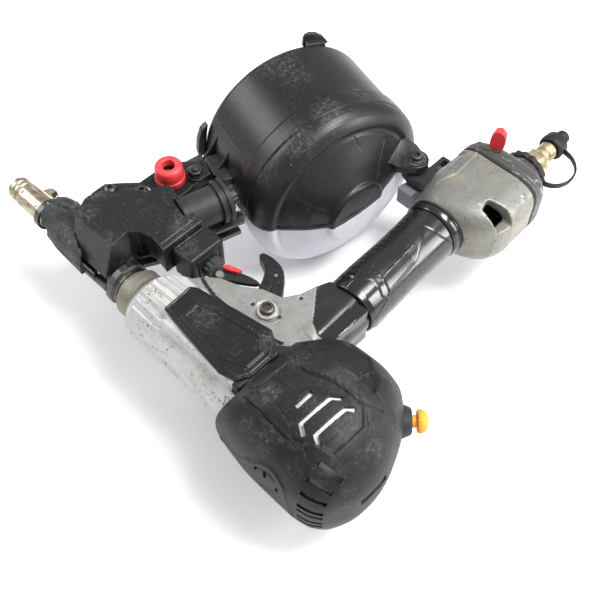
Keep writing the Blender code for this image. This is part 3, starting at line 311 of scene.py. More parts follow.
# Where the drum is dirty.
DRUM_SMUDGES = (((83, 139.7, 58.2), 9, 0.9), ((94.7, 135.9, 58.0), 9, 0.9), ((106, 134, 59), 8, 0.8),
                ((116.6, 132.8, 59.1), 9, 0.9))

LOOKS = {
    "rubber": worn_moulding("worn_rubber", (0.010, 0.0112, 0.0112), (0.10, 0.108, 0.097), (0.46, 0.70), 0.6,
                            grain=1100, edge_wear=0.7, bump=0.5, specular=0.25, rubs=HEAD_RUBS),
    "guard": worn_moulding("scuffed_guard", (0.018, 0.020, 0.020), (0.14, 0.15, 0.135), (0.48, 0.74), 0.95,
                           grain=900, edge_wear=0.8, bump=0.55, specular=0.25, rubs=GUARD_RUBS),
    "cover": worn_moulding("feeder_cover_plastic", (0.011, 0.0125, 0.013), (0.14, 0.15, 0.13), (0.34, 0.62),
                           0.55, edge_wear=1.0, bump=0.35, specular=0.3, rubs=COVER_RUBS),
    "plate": worn_moulding("side_plate_plastic", (0.007, 0.008, 0.009), (0.13, 0.14, 0.12), (0.32, 0.6), 0.4,
                           edge_wear=0.9, bump=0.3, specular=0.3, rubs=PLATE_RUBS),
    "clamp": worn_moulding("clamp_plastic", (0.014, 0.0135, 0.012), (0.10, 0.092, 0.08), (0.42, 0.6), 0.4,
                           edge_wear=0.35, bump=0.3, specular=0.25),
    "trigger": worn_moulding("trigger_paint", (0.012, 0.0125, 0.0125), (0.18, 0.18, 0.17), (0.40, 0.6), 0.45,
                             edge_wear=1.0, bump=0.2, specular=0.3),
    "washer": cast_metal("pale_washer", (0.55, 0.55, 0.52), (0.2, 0.19, 0.17), 0.6, 0.36, 0.4),
    "drum": worn_moulding("drum_plastic", (0.009, 0.010, 0.011), (0.14, 0.145, 0.13), (0.32, 0.60), 0.4,
                          edge_wear=0.8, bump=0.25, specular=0.38, rubs=DRUM_RUBS, smudges=DRUM_SMUDGES),
    "black": worn_moulding("black_plastic", (0.017, 0.018, 0.020), (0.10, 0.10, 0.10), (0.34, 0.6), 0.3,
                           edge_wear=0.5, bump=0.25),
    "soft_black": worn_moulding("soft_black_rubber", (0.012, 0.012, 0.013), (0.07, 0.07, 0.07), (0.52, 0.7),
                                0.35, edge_wear=0.35, bump=0.3, specular=0.35),
    "grey_plastic": worn_moulding("grey_plastic", (0.19, 0.185, 0.215), (0.33, 0.32, 0.35), (0.4, 0.55), 0.4,
                                  edge_wear=0.3, bump=0.2),
    "barrel": cast_metal("silver_barrel_paint", (0.47, 0.48, 0.465), (0.06, 0.06, 0.055), 0.3, 0.40, 2.1,
                         stained=0.35),
    "frame": cast_metal("grey_frame_paint", (0.235, 0.245, 0.23), (0.06, 0.06, 0.055), 0.3, 0.42, 0.7,
                        stained=0.3),
    "housing": cast_metal("speckled_casting", (0.205, 0.21, 0.19), (0.05, 0.05, 0.042), 0.4, 0.40, 1.5,
                          stained=0.55),
    "collar": cast_metal("brown_cast_collar", (0.24, 0.22, 0.18), (0.06, 0.055, 0.045), 0.6, 0.48, 0.8,
                         stained=0.6),
    "under_head": cast_metal("bright_casting", (0.80, 0.80, 0.78), (0.2, 0.2, 0.18), 0.5, 0.4, 1.0),
    "cap": flaked_paint("flaked_cap_paint", (0.05, 0.048, 0.045), (0.45, 0.44, 0.40), 0.42),
    "tip": steel("nickelled_tip", (0.52, 0.45, 0.36), (0.20, 0.15, 0.10), 0.30, 0.5, 0.85, rust=0.4),
    "dark_steel": steel("blackened_steel", (0.085, 0.085, 0.085), (0.03, 0.028, 0.026), 0.36, 0.5, 0.5,
                        rust=0.12),
    "feeder": worn_moulding("feeder_cylinder_paint", (0.012, 0.0125, 0.012), (0.10, 0.095, 0.085),
                            (0.42, 0.6), 0.3, edge_wear=0.25, bump=0.25, specular=0.25),
    "bolt": steel("bronzed_bolt", (0.10, 0.092, 0.078), (0.035, 0.03, 0.024), 0.40, 0.5, 0.6, rust=0.3),
    "bright_steel": steel("bolt_steel", (0.42, 0.40, 0.36), (0.16, 0.13, 0.10), 0.30, 0.5, 0.55, rust=0.35),
    "spring": steel("spring_wire", (0.5, 0.5, 0.5), (0.25, 0.24, 0.22), 0.26, 0.4, 0.3),
    "brass": steel("dull_brass", (0.55, 0.47, 0.30), (0.24, 0.19, 0.11), 0.36, 0.4, 0.7, rust=0.4),
    "red": bright_plastic("red_cap_plastic", (0.64, 0.032, 0.04), (0.74, 0.08, 0.08)),
    "red_lever": bright_plastic("red_lever_paint", (0.62, 0.025, 0.035), (0.70, 0.07, 0.07), 0.34),
    "orange": bright_plastic("orange_button_plastic", (0.86, 0.33, 0.025), (0.90, 0.42, 0.09), 0.46),
    "clear": frosted("milky_clear_plastic"),
    "grip": grip_gloss("polished_grip_plastic"),
}


# ---------------------------------------------------------------- mesh tools

def coordinates(piece):
    found = np.empty(len(piece.data.vertices) * 3)
    piece.data.vertices.foreach_get("co", found)
    return found.reshape(-1, 3) / MM


def normals(piece):
    found = np.empty(len(piece.data.vertices) * 3)
    piece.data.vertex_normals.foreach_get("vector", found)
    return found.reshape(-1, 3)


def shift(piece, points):
    piece.data.vertices.foreach_set("co", (points * MM).ravel())
    piece.data.update()


def to_mesh(piece):
    """The piece with its modifiers applied."""
    graph = bpy.context.evaluated_depsgraph_get()
    mesh = bpy.data.meshes.new_from_object(piece.evaluated_get(graph))
    piece.modifiers.clear()
    piece.data = mesh
    return piece


def smooth_shade(piece, angle=40):
    piece.data.shade_smooth()
    piece.data.set_sharp_from_angle(angle=math.radians(angle))
    return piece


def dress(piece, look):
    piece.data.materials.clear()
    piece.data.materials.append(LOOKS[look])
    return piece


def new_piece(name, mesh):
    piece = bpy.data.objects.new(name, mesh)
    bpy.context.scene.collection.objects.link(piece)
    return piece


def file_piece(piece, look, body=BODY, replaces=()):
    dress(piece, look)
    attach(piece, body)
    if replaces:
        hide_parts(*replaces)
    return piece


def remeshed(piece, voxel, rounds):
    """A dense, even copy of a piece's mesh, with its edges worn round."""
    remesh = piece.modifiers.new("even", "REMESH")
    remesh.mode = "VOXEL"
    remesh.voxel_size = voxel * MM
    calm = piece.modifiers.new("calm", "SMOOTH")
    calm.factor = 0.5
    calm.iterations = rounds
    return to_mesh(piece)


def soft_copy(node, name, voxel, rounds):
    """A CAD node's shape as a dense mesh that can be worked on."""
    piece = new_piece(name, NODES[node].data.copy())
    return remeshed(piece, voxel, rounds)


def smoothstep(value):
    t = np.clip(value, 0.0, 1.0)
    return t * t * (3 - 2 * t)


def line_distance(points, line):
    """How far each point is from a line through a few points."""
    best = np.full(len(points), 1e9)
    for start, end in zip(line, line[1:]):
        start, end = np.array(start, float), np.array(end, float)
        run = end - start
        share = np.clip(((points - start) @ run) / (run @ run), 0, 1)
        best = np.minimum(best, np.linalg.norm(points - start - share[:, None] * run, axis=1))
    return best


def inside(points, outline):
    """Which points lie in a flat outline."""
    found = np.zeros(len(points), bool)
    x, y = points[:, 0], points[:, 1]
    for (ax, ay), (bx, by) in zip(outline, outline[1:] + outline[:1]):
        crosses = (ay > y) != (by > y)
        with np.errstate(divide="ignore", invalid="ignore"):
            at = ax + (y - ay) * (bx - ax) / (by - ay if by != ay else 1e-9)
        found ^= crosses & (x < at)
    return found


def raise_patch(piece, outline, height, edge):
    """Lifts the upward surface inside a flat outline, with a slope of a given width at its edge."""
    points, out = coordinates(piece), normals(piece)
    flat = points[:, :2]
    reach = line_distance(flat, outline + outline[:1])
    signed = np.where(inside(flat, outline), reach, -reach)
    share = smoothstep(signed / edge + 0.5)
    upward = smoothstep((out[:, 2] - 0.2) / 0.3)
    shift(piece, points + out * (share * upward * height)[:, None])


def groove(piece, line, width, depth):
    """Presses a line into the surface, or raises one where the depth is negative."""
    points, out = coordinates(piece), normals(piece)
    share = smoothstep(1 - line_distance(points, line) / width)
    shift(piece, points - out * (share * depth)[:, None])


def outline_groove(piece, line, width, depth):
    """A groove that follows a flat line over the upward surface below it."""
    points, out = coordinates(piece), normals(piece)
    share = smoothstep(1 - line_distance(points[:, :2], line) / width)
    share = share * smoothstep((out[:, 2] - 0.25) / 0.3)
    shift(piece, points - out * (share * depth)[:, None])


def dent(piece, place, width, depth):
    """A round hollow in the upward surface, or a stud where the depth is negative."""
    x, y = place
    outline_groove(piece, [(x, y), (x + 0.01, y)], width, depth)


WAVES = 9


def waves(points, scale, seed):
    """Smooth, repeatable unevenness from a few sine waves."""
    rng = np.random.default_rng(seed)
    total = np.zeros(len(points))
    for _ in range(WAVES):
        way = rng.normal(size=3)
        way /= np.linalg.norm(way)
        total += np.sin(points @ way * rng.uniform(0.6, 1.6) / scale + rng.uniform(0, 6.28))
    return total / 4


def roughen(piece, amount, scale, seed):
    points, out = coordinates(piece), normals(piece)
    shift(piece, points + out * (amount * waves(points, scale, seed))[:, None])


def piece_from(name, work):
    """The finished mesh as a piece of the scene."""
    mesh = bpy.data.meshes.new(name)
    work.to_mesh(mesh)
    work.free()
    return new_piece(name, mesh)


def skinned(work, rows, closed=True):
    """Faces between each row of points and the next."""
    count = len(rows[0])
    for row, following in zip(rows, rows[1:]):
        for i in range(count if closed else count - 1):
            j = (i + 1) % count
            work.faces.new((row[i], row[j], following[j], following[i]))


def cleaned(work):
    """Welds points that meet, drops slivers and turns all faces outwards."""
    bmesh.ops.remove_doubles(work, verts=work.verts, dist=1e-6)
    bmesh.ops.dissolve_degenerate(work, edges=work.edges, dist=1e-7)
    bmesh.ops.recalc_face_normals(work, faces=work.faces)


def bevelled(piece, width, segments, angle=30):
    """Gives a piece rounded edges, as a modifier."""
    edge = piece.modifiers.new("edges", "BEVEL")
    edge.width = width * MM
    edge.segments = segments
    edge.angle_limit = math.radians(angle)
    return edge


def from_rings(name, rings, closed=True):
    """A skin through rings of points, in millimetres."""
    work = bmesh.new()
    rows = [[work.verts.new(Vector(p) * MM) for p in ring] for ring in rings]
    skinned(work, rows, closed)
    if closed:
        for row in (rows[0], rows[-1]):
            work.faces.new(row)
    bmesh.ops.remove_doubles(work, verts=work.verts, dist=1e-7)
    bmesh.ops.recalc_face_normals(work, faces=work.faces)
    return piece_from(name, work)


def frame_of(direction):
    """The turn that takes Z to a direction."""
    turn = Vector(direction).normalized().to_track_quat("Z", "Y").to_matrix()
    return np.array(turn)


def turned(name, profile, start, direction, sides=64):
    """A shape of revolution: the profile is (distance along, radius), closed on itself or on the axis."""
    basis = frame_of(direction)
    start = np.array(start, float)
    angles = np.arange(sides) * 2 * math.pi / sides
    circle = np.stack([np.cos(angles), np.sin(angles), np.zeros(sides)], 1)
    rings = []
    on_axis = profile[0][1] == 0 and profile[-1][1] == 0
    line = profile if on_axis else profile + profile[:1]
    for along, radius in line:
        local = circle * max(radius, 1e-4) + np.array([0, 0, along])
        rings.append(local @ basis.T + start)
    work = bmesh.new()
    rows = [[work.verts.new(Vector(p) * MM) for p in ring] for ring in rings[:-1 if not on_axis else None]]
    if not on_axis:
        rows.append(rows[0])
    skinned(work, rows)
    cleaned(work)
    return smooth_shade(piece_from(name, work), 35)


def prism(name, outline, low, high, bevel=0.6, segments=3, angle=30):
    """A flat outline with a thickness along Z, and rounded edges."""
    work = bmesh.new()
    base = work.faces.new([work.verts.new((x * MM, y * MM, low * MM)) for x, y in outline])
    lifted = bmesh.ops.extrude_face_region(work, geom=[base])
    moved = [v for v in lifted["geom"] if isinstance(v, bmesh.types.BMVert)]
    bmesh.ops.translate(work, vec=(0, 0, (high - low) * MM), verts=moved)
    bmesh.ops.recalc_face_normals(work, faces=work.faces)
    piece = piece_from(name, work)
    if bevel:
        bevelled(piece, bevel, segments, angle)
        to_mesh(piece)
    return smooth_shade(piece, 45)


def carve(piece, *tools, operation="DIFFERENCE"):
    """Cuts pieces out of a piece, and throws the cutters away."""
    for tool in tools:
        knife = piece.modifiers.new("knife", "BOOLEAN")
        knife.operation = operation
        knife.solver = "MANIFOLD"
        knife.object = tool
    to_mesh(piece)
    for tool in tools:
        bpy.data.objects.remove(tool, do_unlink=True)
    return piece


def joined(name, *pieces):
    """Several meshes as one piece."""
    work = bmesh.new()
    for piece in pieces:
        work.from_mesh(piece.data)
        bpy.data.objects.remove(piece, do_unlink=True)
    return smooth_shade(piece_from(name, work), 40)


# ---------------------------------------------------------------- camera, light and floor

CAMERA_PLACE = (0.40985, -0.15730, 0.45068)
CAMERA_TURN = math.radians(44.02)
CAMERA_RISE = math.radians(55.67)
CAMERA_LENS = 54.43
STAGE_MIDDLE = (0.16, 0.13, 0.0)
FLOOR_HALF = 1600.0
LIGHTS = (      # name, place, size, power
    ("key", (0.55, 0.35, 1.0), (0.5, 0.4), 16.0),
    ("side", (1.00, 0.62, 0.42), (0.2, 0.6), 7.0),
    ("left", (-0.65, -0.30, 0.60), (0.5, 0.4), 5.0),
)


def make_camera():
    turn, rise = CAMERA_TURN, CAMERA_RISE
    right = Vector((math.cos(turn), math.sin(turn), 0))
    level = Vector((-math.sin(turn), math.cos(turn), 0))
    up = level * math.sin(rise) + Vector((0, 0, math.cos(rise)))
    back = Vector((0, 0, math.sin(rise))) - level * math.cos(rise)
    camera = bpy.data.objects.new("camera", bpy.data.cameras.new("camera"))
    bpy.context.scene.collection.objects.link(camera)
    place = Matrix((right, up, back)).transposed().to_4x4()
    place.translation = Vector(CAMERA_PLACE)
    camera.matrix_world = place
    camera.data.sensor_width = 36
    camera.data.lens = CAMERA_LENS
    camera.data.clip_start = 0.01
    bpy.context.scene.camera = camera


def area_light(name, place, size, power):
    data = bpy.data.lights.new(name, "AREA")
    data.shape = "RECTANGLE"
    data.size, data.size_y = size
    data.energy = power
    lamp = bpy.data.objects.new(name, data)
    bpy.context.scene.collection.objects.link(lamp)
    lamp.location = place
    lamp.rotation_euler = (Vector(STAGE_MIDDLE) - Vector(place)).to_track_quat("-Z", "Y").to_euler()


def make_stage():
    low = CAD_BOX[0][2]
    floor = from_rings("floor", [[(-FLOOR_HALF, -FLOOR_HALF, 0), (FLOOR_HALF, -FLOOR_HALF, 0)],
                                 [(-FLOOR_HALF, FLOOR_HALF, 0), (FLOOR_HALF, FLOOR_HALF, 0)]], closed=False)
    floor.location = (*STAGE_MIDDLE[:2], low - 0.0008)
    paper = bpy.data.materials.new("pale_floor")
    paper.use_nodes = True
    shader = paper.node_tree.nodes["Principled BSDF"]
    shader.inputs["Base Color"].default_value = (0.93, 0.93, 0.935, 1)
    shader.inputs["Roughness"].default_value = 0.85
    floor.data.materials.append(paper)
    world = bpy.data.worlds.new("studio")
    bpy.context.scene.world = world
    world.use_nodes = True
    background = world.node_tree.nodes["Background"]
    background.inputs["Color"].default_value = (0.98, 0.99, 1.0, 1)
    background.inputs["Strength"].default_value = 0.64
    bpy.context.scene.view_settings.view_transform = "Standard"
    for light in LIGHTS:
        area_light(*light)


make_camera()
make_stage()


# ---------------------------------------------------------------- magazine drum

DRUM_TILT = math.radians(16.2)
DRUM_CENTRE = np.array((145.2, 146.8, 0.9))
DRUM_ALONG = np.array((math.cos(DRUM_TILT), -math.sin(DRUM_TILT), 0.0))
DRUM_ACROSS = np.array((math.sin(DRUM_TILT), math.cos(DRUM_TILT), 0.0))
UP = np.array((0.0, 0.0, 1.0))
SPLIT_GAP = 0.15
HINGE_OUT, HINGE_DROP = 66.8, -1.0
LUG = (177.1, 193.7)            # the bolt's hole in the drum's lug

DRUM_OUTSIDE = [
    (-64.1, 0), (-64.1, 57.0), (-63.7, 59.6), (-62.4, 61.2), (-60.6, 61.7), (-30, 61.9), (-13.9, 62.1),
    (-13.6, 61.5), (-13.1, 61.3), (-12.7, 61.9), (-12.5, 63.2), (-12.0, 63.5), (-1.1, 63.5), (-0.8, 62.9),
    (-0.3, 62.7), (0.1, 63.1), (0.9, 63.4), (3.2, 63.2), (5.6, 62.6), (8.0, 61.5), (10.2, 59.9), (12.0, 57.9),
    (13.2, 56.0), (13.7, 54.9), (13.9, 53.6), (14.0, 52.0), (14.6, 50.9), (15.6, 49.6), (17.4, 46.1),
    (20.8, 40.0), (24.0, 34.0), (27.0, 27.3), (29.2, 22.8), (29.9, 22.2), (30.8, 21.9), (31.6, 21.0),
    (32.1, 20.0), (32.7, 12.0), (33.2, 0),
]
DRUM_INSIDE = [
    (-61.9, 0), (-61.9, 57.0), (-61.0, 59.3), (-13.0, 60.1), (-11.0, 61.1), (1.0, 61.0), (6.5, 59.6),
    (9.5, 57.0), (11.2, 52.0), (13.4, 48.0), (18.6, 39.0), (22.0, 32.5), (25.6, 25.0), (27.6, 20.6),
    (30.4, 18.0), (30.9, 0),
]


def drum_point(along, across, up):
    return DRUM_CENTRE + DRUM_ALONG * along + DRUM_ACROSS * across + UP * up


def drum_matrix():
    """Takes a mesh drawn with X across, Y up and Z along the drum to its place."""
    turn = Matrix((DRUM_ACROSS, UP, DRUM_ALONG)).transposed().to_4x4()
    return Matrix.Translation(Vector(DRUM_CENTRE) * MM) @ turn


def resampled(line, spacing, count=None):
    """The line with points no further apart than a spacing, or with a given number of points."""
    line = np.array(line, float)
    runs = np.linalg.norm(np.diff(line, axis=0), axis=1)
    at = np.concatenate([[0], np.cumsum(runs)])
    if count is None:
        stops = [0.0]
        for start, run in zip(at, runs):
            parts = max(1, math.ceil(run / spacing))
            stops += [start + run * (i + 1) / parts for i in range(parts)]
        stops = np.array(stops)
    else:
        stops = np.linspace(0, at[-1], count)
    return np.stack([np.interp(stops, at, line[:, i]) for i in range(line.shape[1])], 1)


def half_drum(name, side, steps, spacing):
    """Half the drum above or below its split, as one closed shell with a wall."""
    outside = resampled(DRUM_OUTSIDE, spacing)
    inside = resampled(DRUM_INSIDE, spacing, len(outside))
    angles = np.linspace(0, math.pi, steps + 1)
    work = bmesh.new()
    skins = []
    for profile in (outside, inside):
        rows = []
        for along, radius in profile:
            across = radius * np.cos(angles)
            lean = along - 0.15 * across * max(along, 0.0) / 25
            points = (DRUM_CENTRE + lean[:, None] * DRUM_ALONG + across[:, None] * DRUM_ACROSS
                      + (side * (radius * np.sin(angles) + SPLIT_GAP))[:, None] * UP)
            rows.append([work.verts.new(Vector(p) * MM) for p in points])
        skins.append(rows)
    for rows in skins:
        skinned(work, rows, closed=False)
    for end in (0, steps):
        for i in range(len(outside) - 1):
            work.faces.new((skins[0][i][end], skins[0][i + 1][end], skins[1][i + 1][end], skins[1][i][end]))
    cleaned(work)
    return piece_from(name, work)


def drum_tube(along, across, up, outer, inner):
    """A tube along the drum between two distances."""
    low, high = along
    profile = [(low, inner), (low, outer - 0.3), (low + 0.3, outer), (high - 0.3, outer), (high, outer - 0.3),
               (high, inner)]
    return turned("tube", profile, drum_point(0, across, up), DRUM_ALONG, 40)


def drum_plate(outline, low, high, bevel=0.4):
    """A plate across the drum: its outline in (across, up), its thickness along the drum."""
    piece = prism("plate", outline, low, high, bevel)
    piece.data.transform(drum_matrix())
    return piece


def drum_block(along, across, up):
    outline = [(across[0], up[0]), (across[1], up[0]), (across[1], up[1]), (across[0], up[1])]
    return drum_plate(outline, along[0], along[1], 0)


def slab(name, outline, depth_of, thickness):
    """A leaning plate that faces +X: its outline is in YZ, and its face's X comes from a function."""
    face = [(depth_of(y, z), y, z) for y, z in outline]
    piece = from_rings(name, [face, [(x - thickness, y, z) for x, y, z in face]])
    bevelled(piece, 0.5, 2)
    return smooth_shade(to_mesh(piece), 45)


def round_end(centre, radius, start, end, count=20):
    angles = np.radians(np.linspace(start, end, count))
    return [(centre[0] + radius * math.cos(a), centre[1] + radius * math.sin(a)) for a in angles]


def drum_shell():
    """The drum's upper half, with its raised lines and its mouth."""
    shell = half_drum("magazine_shell", 1, 300, 0.8)
    for line, width, depth in (
            ([(167.4, 170.0, 36.1), (171.6, 161.9, 26.0), (174.5, 155.8, 17.4)], 1.0, -0.35),
            ([(150.1, 98.2, 30.8), (158.8, 106.7, 22.9), (167.5, 115.6, 16.5)], 1.0, -0.3),
            ([(161.1, 147.8, 51.3), (162.7, 148.3, 47.5), (164.4, 149.6, 44.4)], 0.9, 0.4),
            ([(156.3, 129.0, 53.3), (158.1, 137.8, 54.6), (160.8, 148.7, 53.0), (163.4, 160.2, 48.8),
              (166.0, 171.0, 41.1)], 1.1, 0.4),
            ([(78.9, 110.8, 33.0), (92.8, 106.6, 32.8), (114.3, 100.7, 33.4), (130.8, 96.2, 33.6)], 0.9,
             -0.25),
            ([(146.2, 106.7, 47.9), (146.9, 107.1, 47.4)], 1.2, -0.6)):
        groove(shell, line, width, depth)
    rim = [(142.6, 85.6, 3.0), (169.4, 113.6, 3.0), (172.4, 117.4, 5.6), (176.6, 133.0, 4.2),
           (176.4, 162.0, 3.6)]
    groove(shell, rim, 1.6, -0.5)
    groove(shell, [p[:2] + (p[2] + 2.2,) for p in rim[:2]], 1.0, 0.4)
    roughen(shell, 0.05, 7.0, 3)
    window = drum_block((-60, -2), (-70, -50), (-6, 6.5))
    carve(shell, window)
    return smooth_shade(shell, 32)


def drum_fittings():
    """What is moulded on the drum's upper half: knuckles, lug, ribs, ear, tab and rim."""
    knuckles = []
    for low, high in ((-56, -43), (-25.5, -13.2)):
        knuckles.append(drum_tube((low, high), HINGE_OUT, HINGE_DROP, 3.8, 1.6))
        knuckles.append(drum_block((low + 0.4, high - 0.4), (60.2, HINGE_OUT - 2.2), (0.6, 2.5)))
    lug = prism("lug", [(160, 184), (163, 199)] + round_end(LUG, 8.6, 100, -70) + [(168, 178)],
                2.2, 9.6, 0.9)
    lug_ring = turned("lug_ring", [(9.4, 5.4), (9.4, 6.6), (10.1, 6.4), (10.1, 5.6)], (*LUG, 0), UP)
    ear_plate = slab("ear_plate", [(170.5, 19.6), (186.5, 26.4), (191, 25.2), (197.6, 17.0), (200.6, 10.1),
                                   (183, 9.0), (178, 12.6)], lambda y, z: 177.4 - 0.5226 * (z - 10.1), 2.4)
    web = prism("web", [(158, 181), (159.5, 197), (167.0, 199.6), (169.2, 190), (167.4, 179.5)], 8.8, 14.0,
                1.6)
    tongue = prism("tongue", [(79.5, 95), (84, 106), (108, 99), (103, 88.5), (94.6, 88.6)], 8.4, 14.6, 0.6)
    ribs = [drum_plate([(-56.5, 25.5), (-59.5, 20.5), (-65.0, 14.0), (-70.0, 9.0), (-60.0, 8.6), (-57.5, 14)],
                       along, along + 2.0) for along in (-52.0, -36.0)]
    ear = drum_plate([(-57.6, 26.6), (-62.2, 23.4), (-65.4, 15.4), (-66.8, 6.0), (-66.4, 0.4), (-60.5, 0.4),
                      (-60.3, 12.0)], -66.4, -61.5, 0.8)
    tab = drum_plate([(17.0, 54), (17.6, 60.6), (19.2, 62.8), (22.6, 63.1), (27.4, 60.9), (32.0, 57.0),
                      (36.6, 50.0), (30.0, 48.0)], -70.4, -68.0, 0.7)
    tab_root = drum_plate([(18.4, 50), (18.4, 58.6), (30.6, 55.6), (33.0, 49.0)], -68.8, -63.4, 0.5)
    back_rim = turned("back_rim", [(-65.2, 52.0), (-65.2, 55.4), (-64.6, 56.0), (-63.9, 56.0), (-63.9, 52.0)],
                      DRUM_CENTRE, DRUM_ALONG, 160)
    trim = drum_block((-80, -50), (-80, 80), (-80, 0.3))
    carve(back_rim, trim)
    return [lug, lug_ring, ear_plate, web, tongue, *ribs, *knuckles, ear, tab, tab_root, back_rim]


def make_drum():
    drum = joined("magazine_shell", drum_shell(), *drum_fittings())
    file_piece(drum, "drum", replaces=["magazine_body"])


def make_lid():
    lid = half_drum("magazine_lid_shell", -1, 160, 1.6)
    smooth_shade(lid, 35)
    hinge = drum_tube((-42.6, -25.9), HINGE_OUT, HINGE_DROP, 3.8, 1.6)
    arm = drum_block((-42.2, -26.3), (60.2, HINGE_OUT - 2.2), (-3.6, -1.2))
    window = drum_block((-60, -2), (-70, -50), (-7, 6.5))
    carve(lid, window)
    piece = joined("magazine_lid_shell", lid, hinge, arm)
    file_piece(piece, "clear", "magazine_lid", ["magazine_cover"])


# ---------------------------------------------------------------- head

HEAD_WALL = 2.5
CROWN_START, CROWN_TOP = 296, 306
HEAD_SECTIONS = [
    (221, -28.5, 38, 34.5), (227, -30, 44, 37.5), (236, -31.5, 53, 40.0), (248, -33.0, 58.5, 41.7),
    (264, -33.4, 59.5, 42), (280, -33.6, 56.5, 41), (292, -32.0, 47, 37.5), (300, -27.8, 36, 31.0),
    (305.5, -20, 24, 23.5), (308.6, -13.5, 15, 16), (309.8, -7, 8, 10), (310.0, -3, 3.5, 5),
]


def curve_through(stops, values, at):
    """A smooth line through values, which never overshoots them."""
    stops, values = np.array(stops, float), np.array(values, float)
    runs = np.diff(stops)
    slopes = np.diff(values) / runs
    lean = np.zeros(len(stops))
    for i in range(1, len(stops) - 1):
        if slopes[i - 1] * slopes[i] > 0:
            lean[i] = 2 * slopes[i - 1] * slopes[i] / (slopes[i - 1] + slopes[i])
    lean[0], lean[-1] = slopes[0], slopes[-1]
    k = np.clip(np.searchsorted(stops, at) - 1, 0, len(runs) - 1)
    t = (at - stops[k]) / runs[k]
    a, b = values[k], values[k + 1]
    return (a * (1 + 2 * t) * (1 - t) ** 2 + lean[k] * runs[k] * t * (1 - t) ** 2
            + b * t ** 2 * (3 - 2 * t) + lean[k + 1] * runs[k] * t ** 2 * (t - 1))


def soft_ring(left, right, half, power, power_right, count):
    """Points (across, up) round a soft box, evenly spread."""
    angle = np.linspace(0, 2 * math.pi, count, endpoint=False) + 0.01
    c, s = np.cos(angle), np.sin(angle)
    n = np.where(c > 0, power_right, power)
    across = (left + right) / 2 + (right - left) / 2 * np.sign(c) * np.abs(c) ** (2 / n)
    return across, half * np.sign(s) * np.abs(s) ** (2 / n)


def section_at(sections, x):
    """The left, right and half height at a place between (x, left, right, half) sections."""
    stops = [s[0] for s in sections]
    return [float(curve_through(stops, [s[k] for s in sections], np.array([x]))[0]) for k in (1, 2, 3)]


def head_rings(sections, spacing, count, inset=0.0):
    """Rings along the head, closer together where its crown curves in."""
    rings = []
    x, last = sections[0][0], sections[-1][0]
    places = []
    while x < last:
        places.append(x)
        x += spacing if x < CROWN_START else spacing * (0.5 if x < CROWN_TOP else 0.22)
    places.append(last)
    for x in places:
        left, right, half = section_at(sections, x)
        across, up = soft_ring(left + inset, right - inset, half - inset, 2.7, 2.1, count)
        lean = max(0.0, 248.0 - x) * 0.33
        rings.append(np.stack([x + lean * (up / half) ** 2, across, up], 1))
    return rings


HEAD_PANELS = (      # outline in XY, height, width of its edge
    ([(237, 12), (251, 14.5), (264, 19.5), (283, 20.5), (291, 12), (290, -9), (279.5, -12), (268, -21.5),
      (249, -19.5), (234.5, -18.5)], -1.1, 0.6),
    ([(234, 27), (249, 28), (262, 30), (271.5, 30), (282, 29), (292, 27.2), (284, 21.5), (273, 22), (264, 21),
      (251, 16), (238, 14.5), (230, 15)], 1.0, 0.6),
    ([(270.4, 31.5), (272.2, 41.5), (279.4, 35), (281.6, 31.0)], -1.3, 0.6),
    ([(281.6, 31.5), (279.8, 36), (273, 43), (280, 46), (290, 41), (297, 31)], 0.6, 1.0),
    ([(231, 29), (262, 32), (268.5, 33), (270, 42.5), (262, 50), (243, 47), (232, 38)], -1.1, 0.6),
    ([(256, 7.0), (254.5, -7), (264, -9), (270, -15.5), (281, -14), (284, -3), (283, 12), (275, 17),
      (266, 12)],
     0.6, 0.5),
)
SIDE_RIDGE = [(226, -29, -6), (244, -31.5, 0), (253, -32.5, 9), (260, -32.4, 16.5), (266, -32.2, 19.5),
              (271, -32, 19), (278, -33, 14), (281, -34, 0), (284, -33, -10)]
BUTTON = (286.5, 39.0, 0)
BUTTON_ALONG = (0.72, 0.694, 0)
VENT_WIDTH = 2.6
VENTS = (((259.3, -4.5), (259.8, 7.5)),
         ((272.8, -12.7), (267.0, -9.0), (268.6, 11.5), (273.2, 15.3)),
         ((281.2, -11.0), (276.6, -8.2), (278.0, 12.2), (281.8, 15.8)))


def ribbon(line, width):
    """The outline of a band along a line of points."""
    line = [Vector(point) for point in line]
    left, right = [], []
    for i, point in enumerate(line):
        before = (point - line[i - 1]).normalized() if i else (line[1] - point).normalized()
        after = (line[i + 1] - point).normalized() if i + 1 < len(line) else before
        aside = Vector((-before.y - after.y, before.x + after.x)).normalized()
        aside *= width / 2 / aside.dot(Vector((-before.y, before.x)))
        left.append(tuple(point + aside))
        right.append(tuple(point - aside))
    return left + right[::-1]


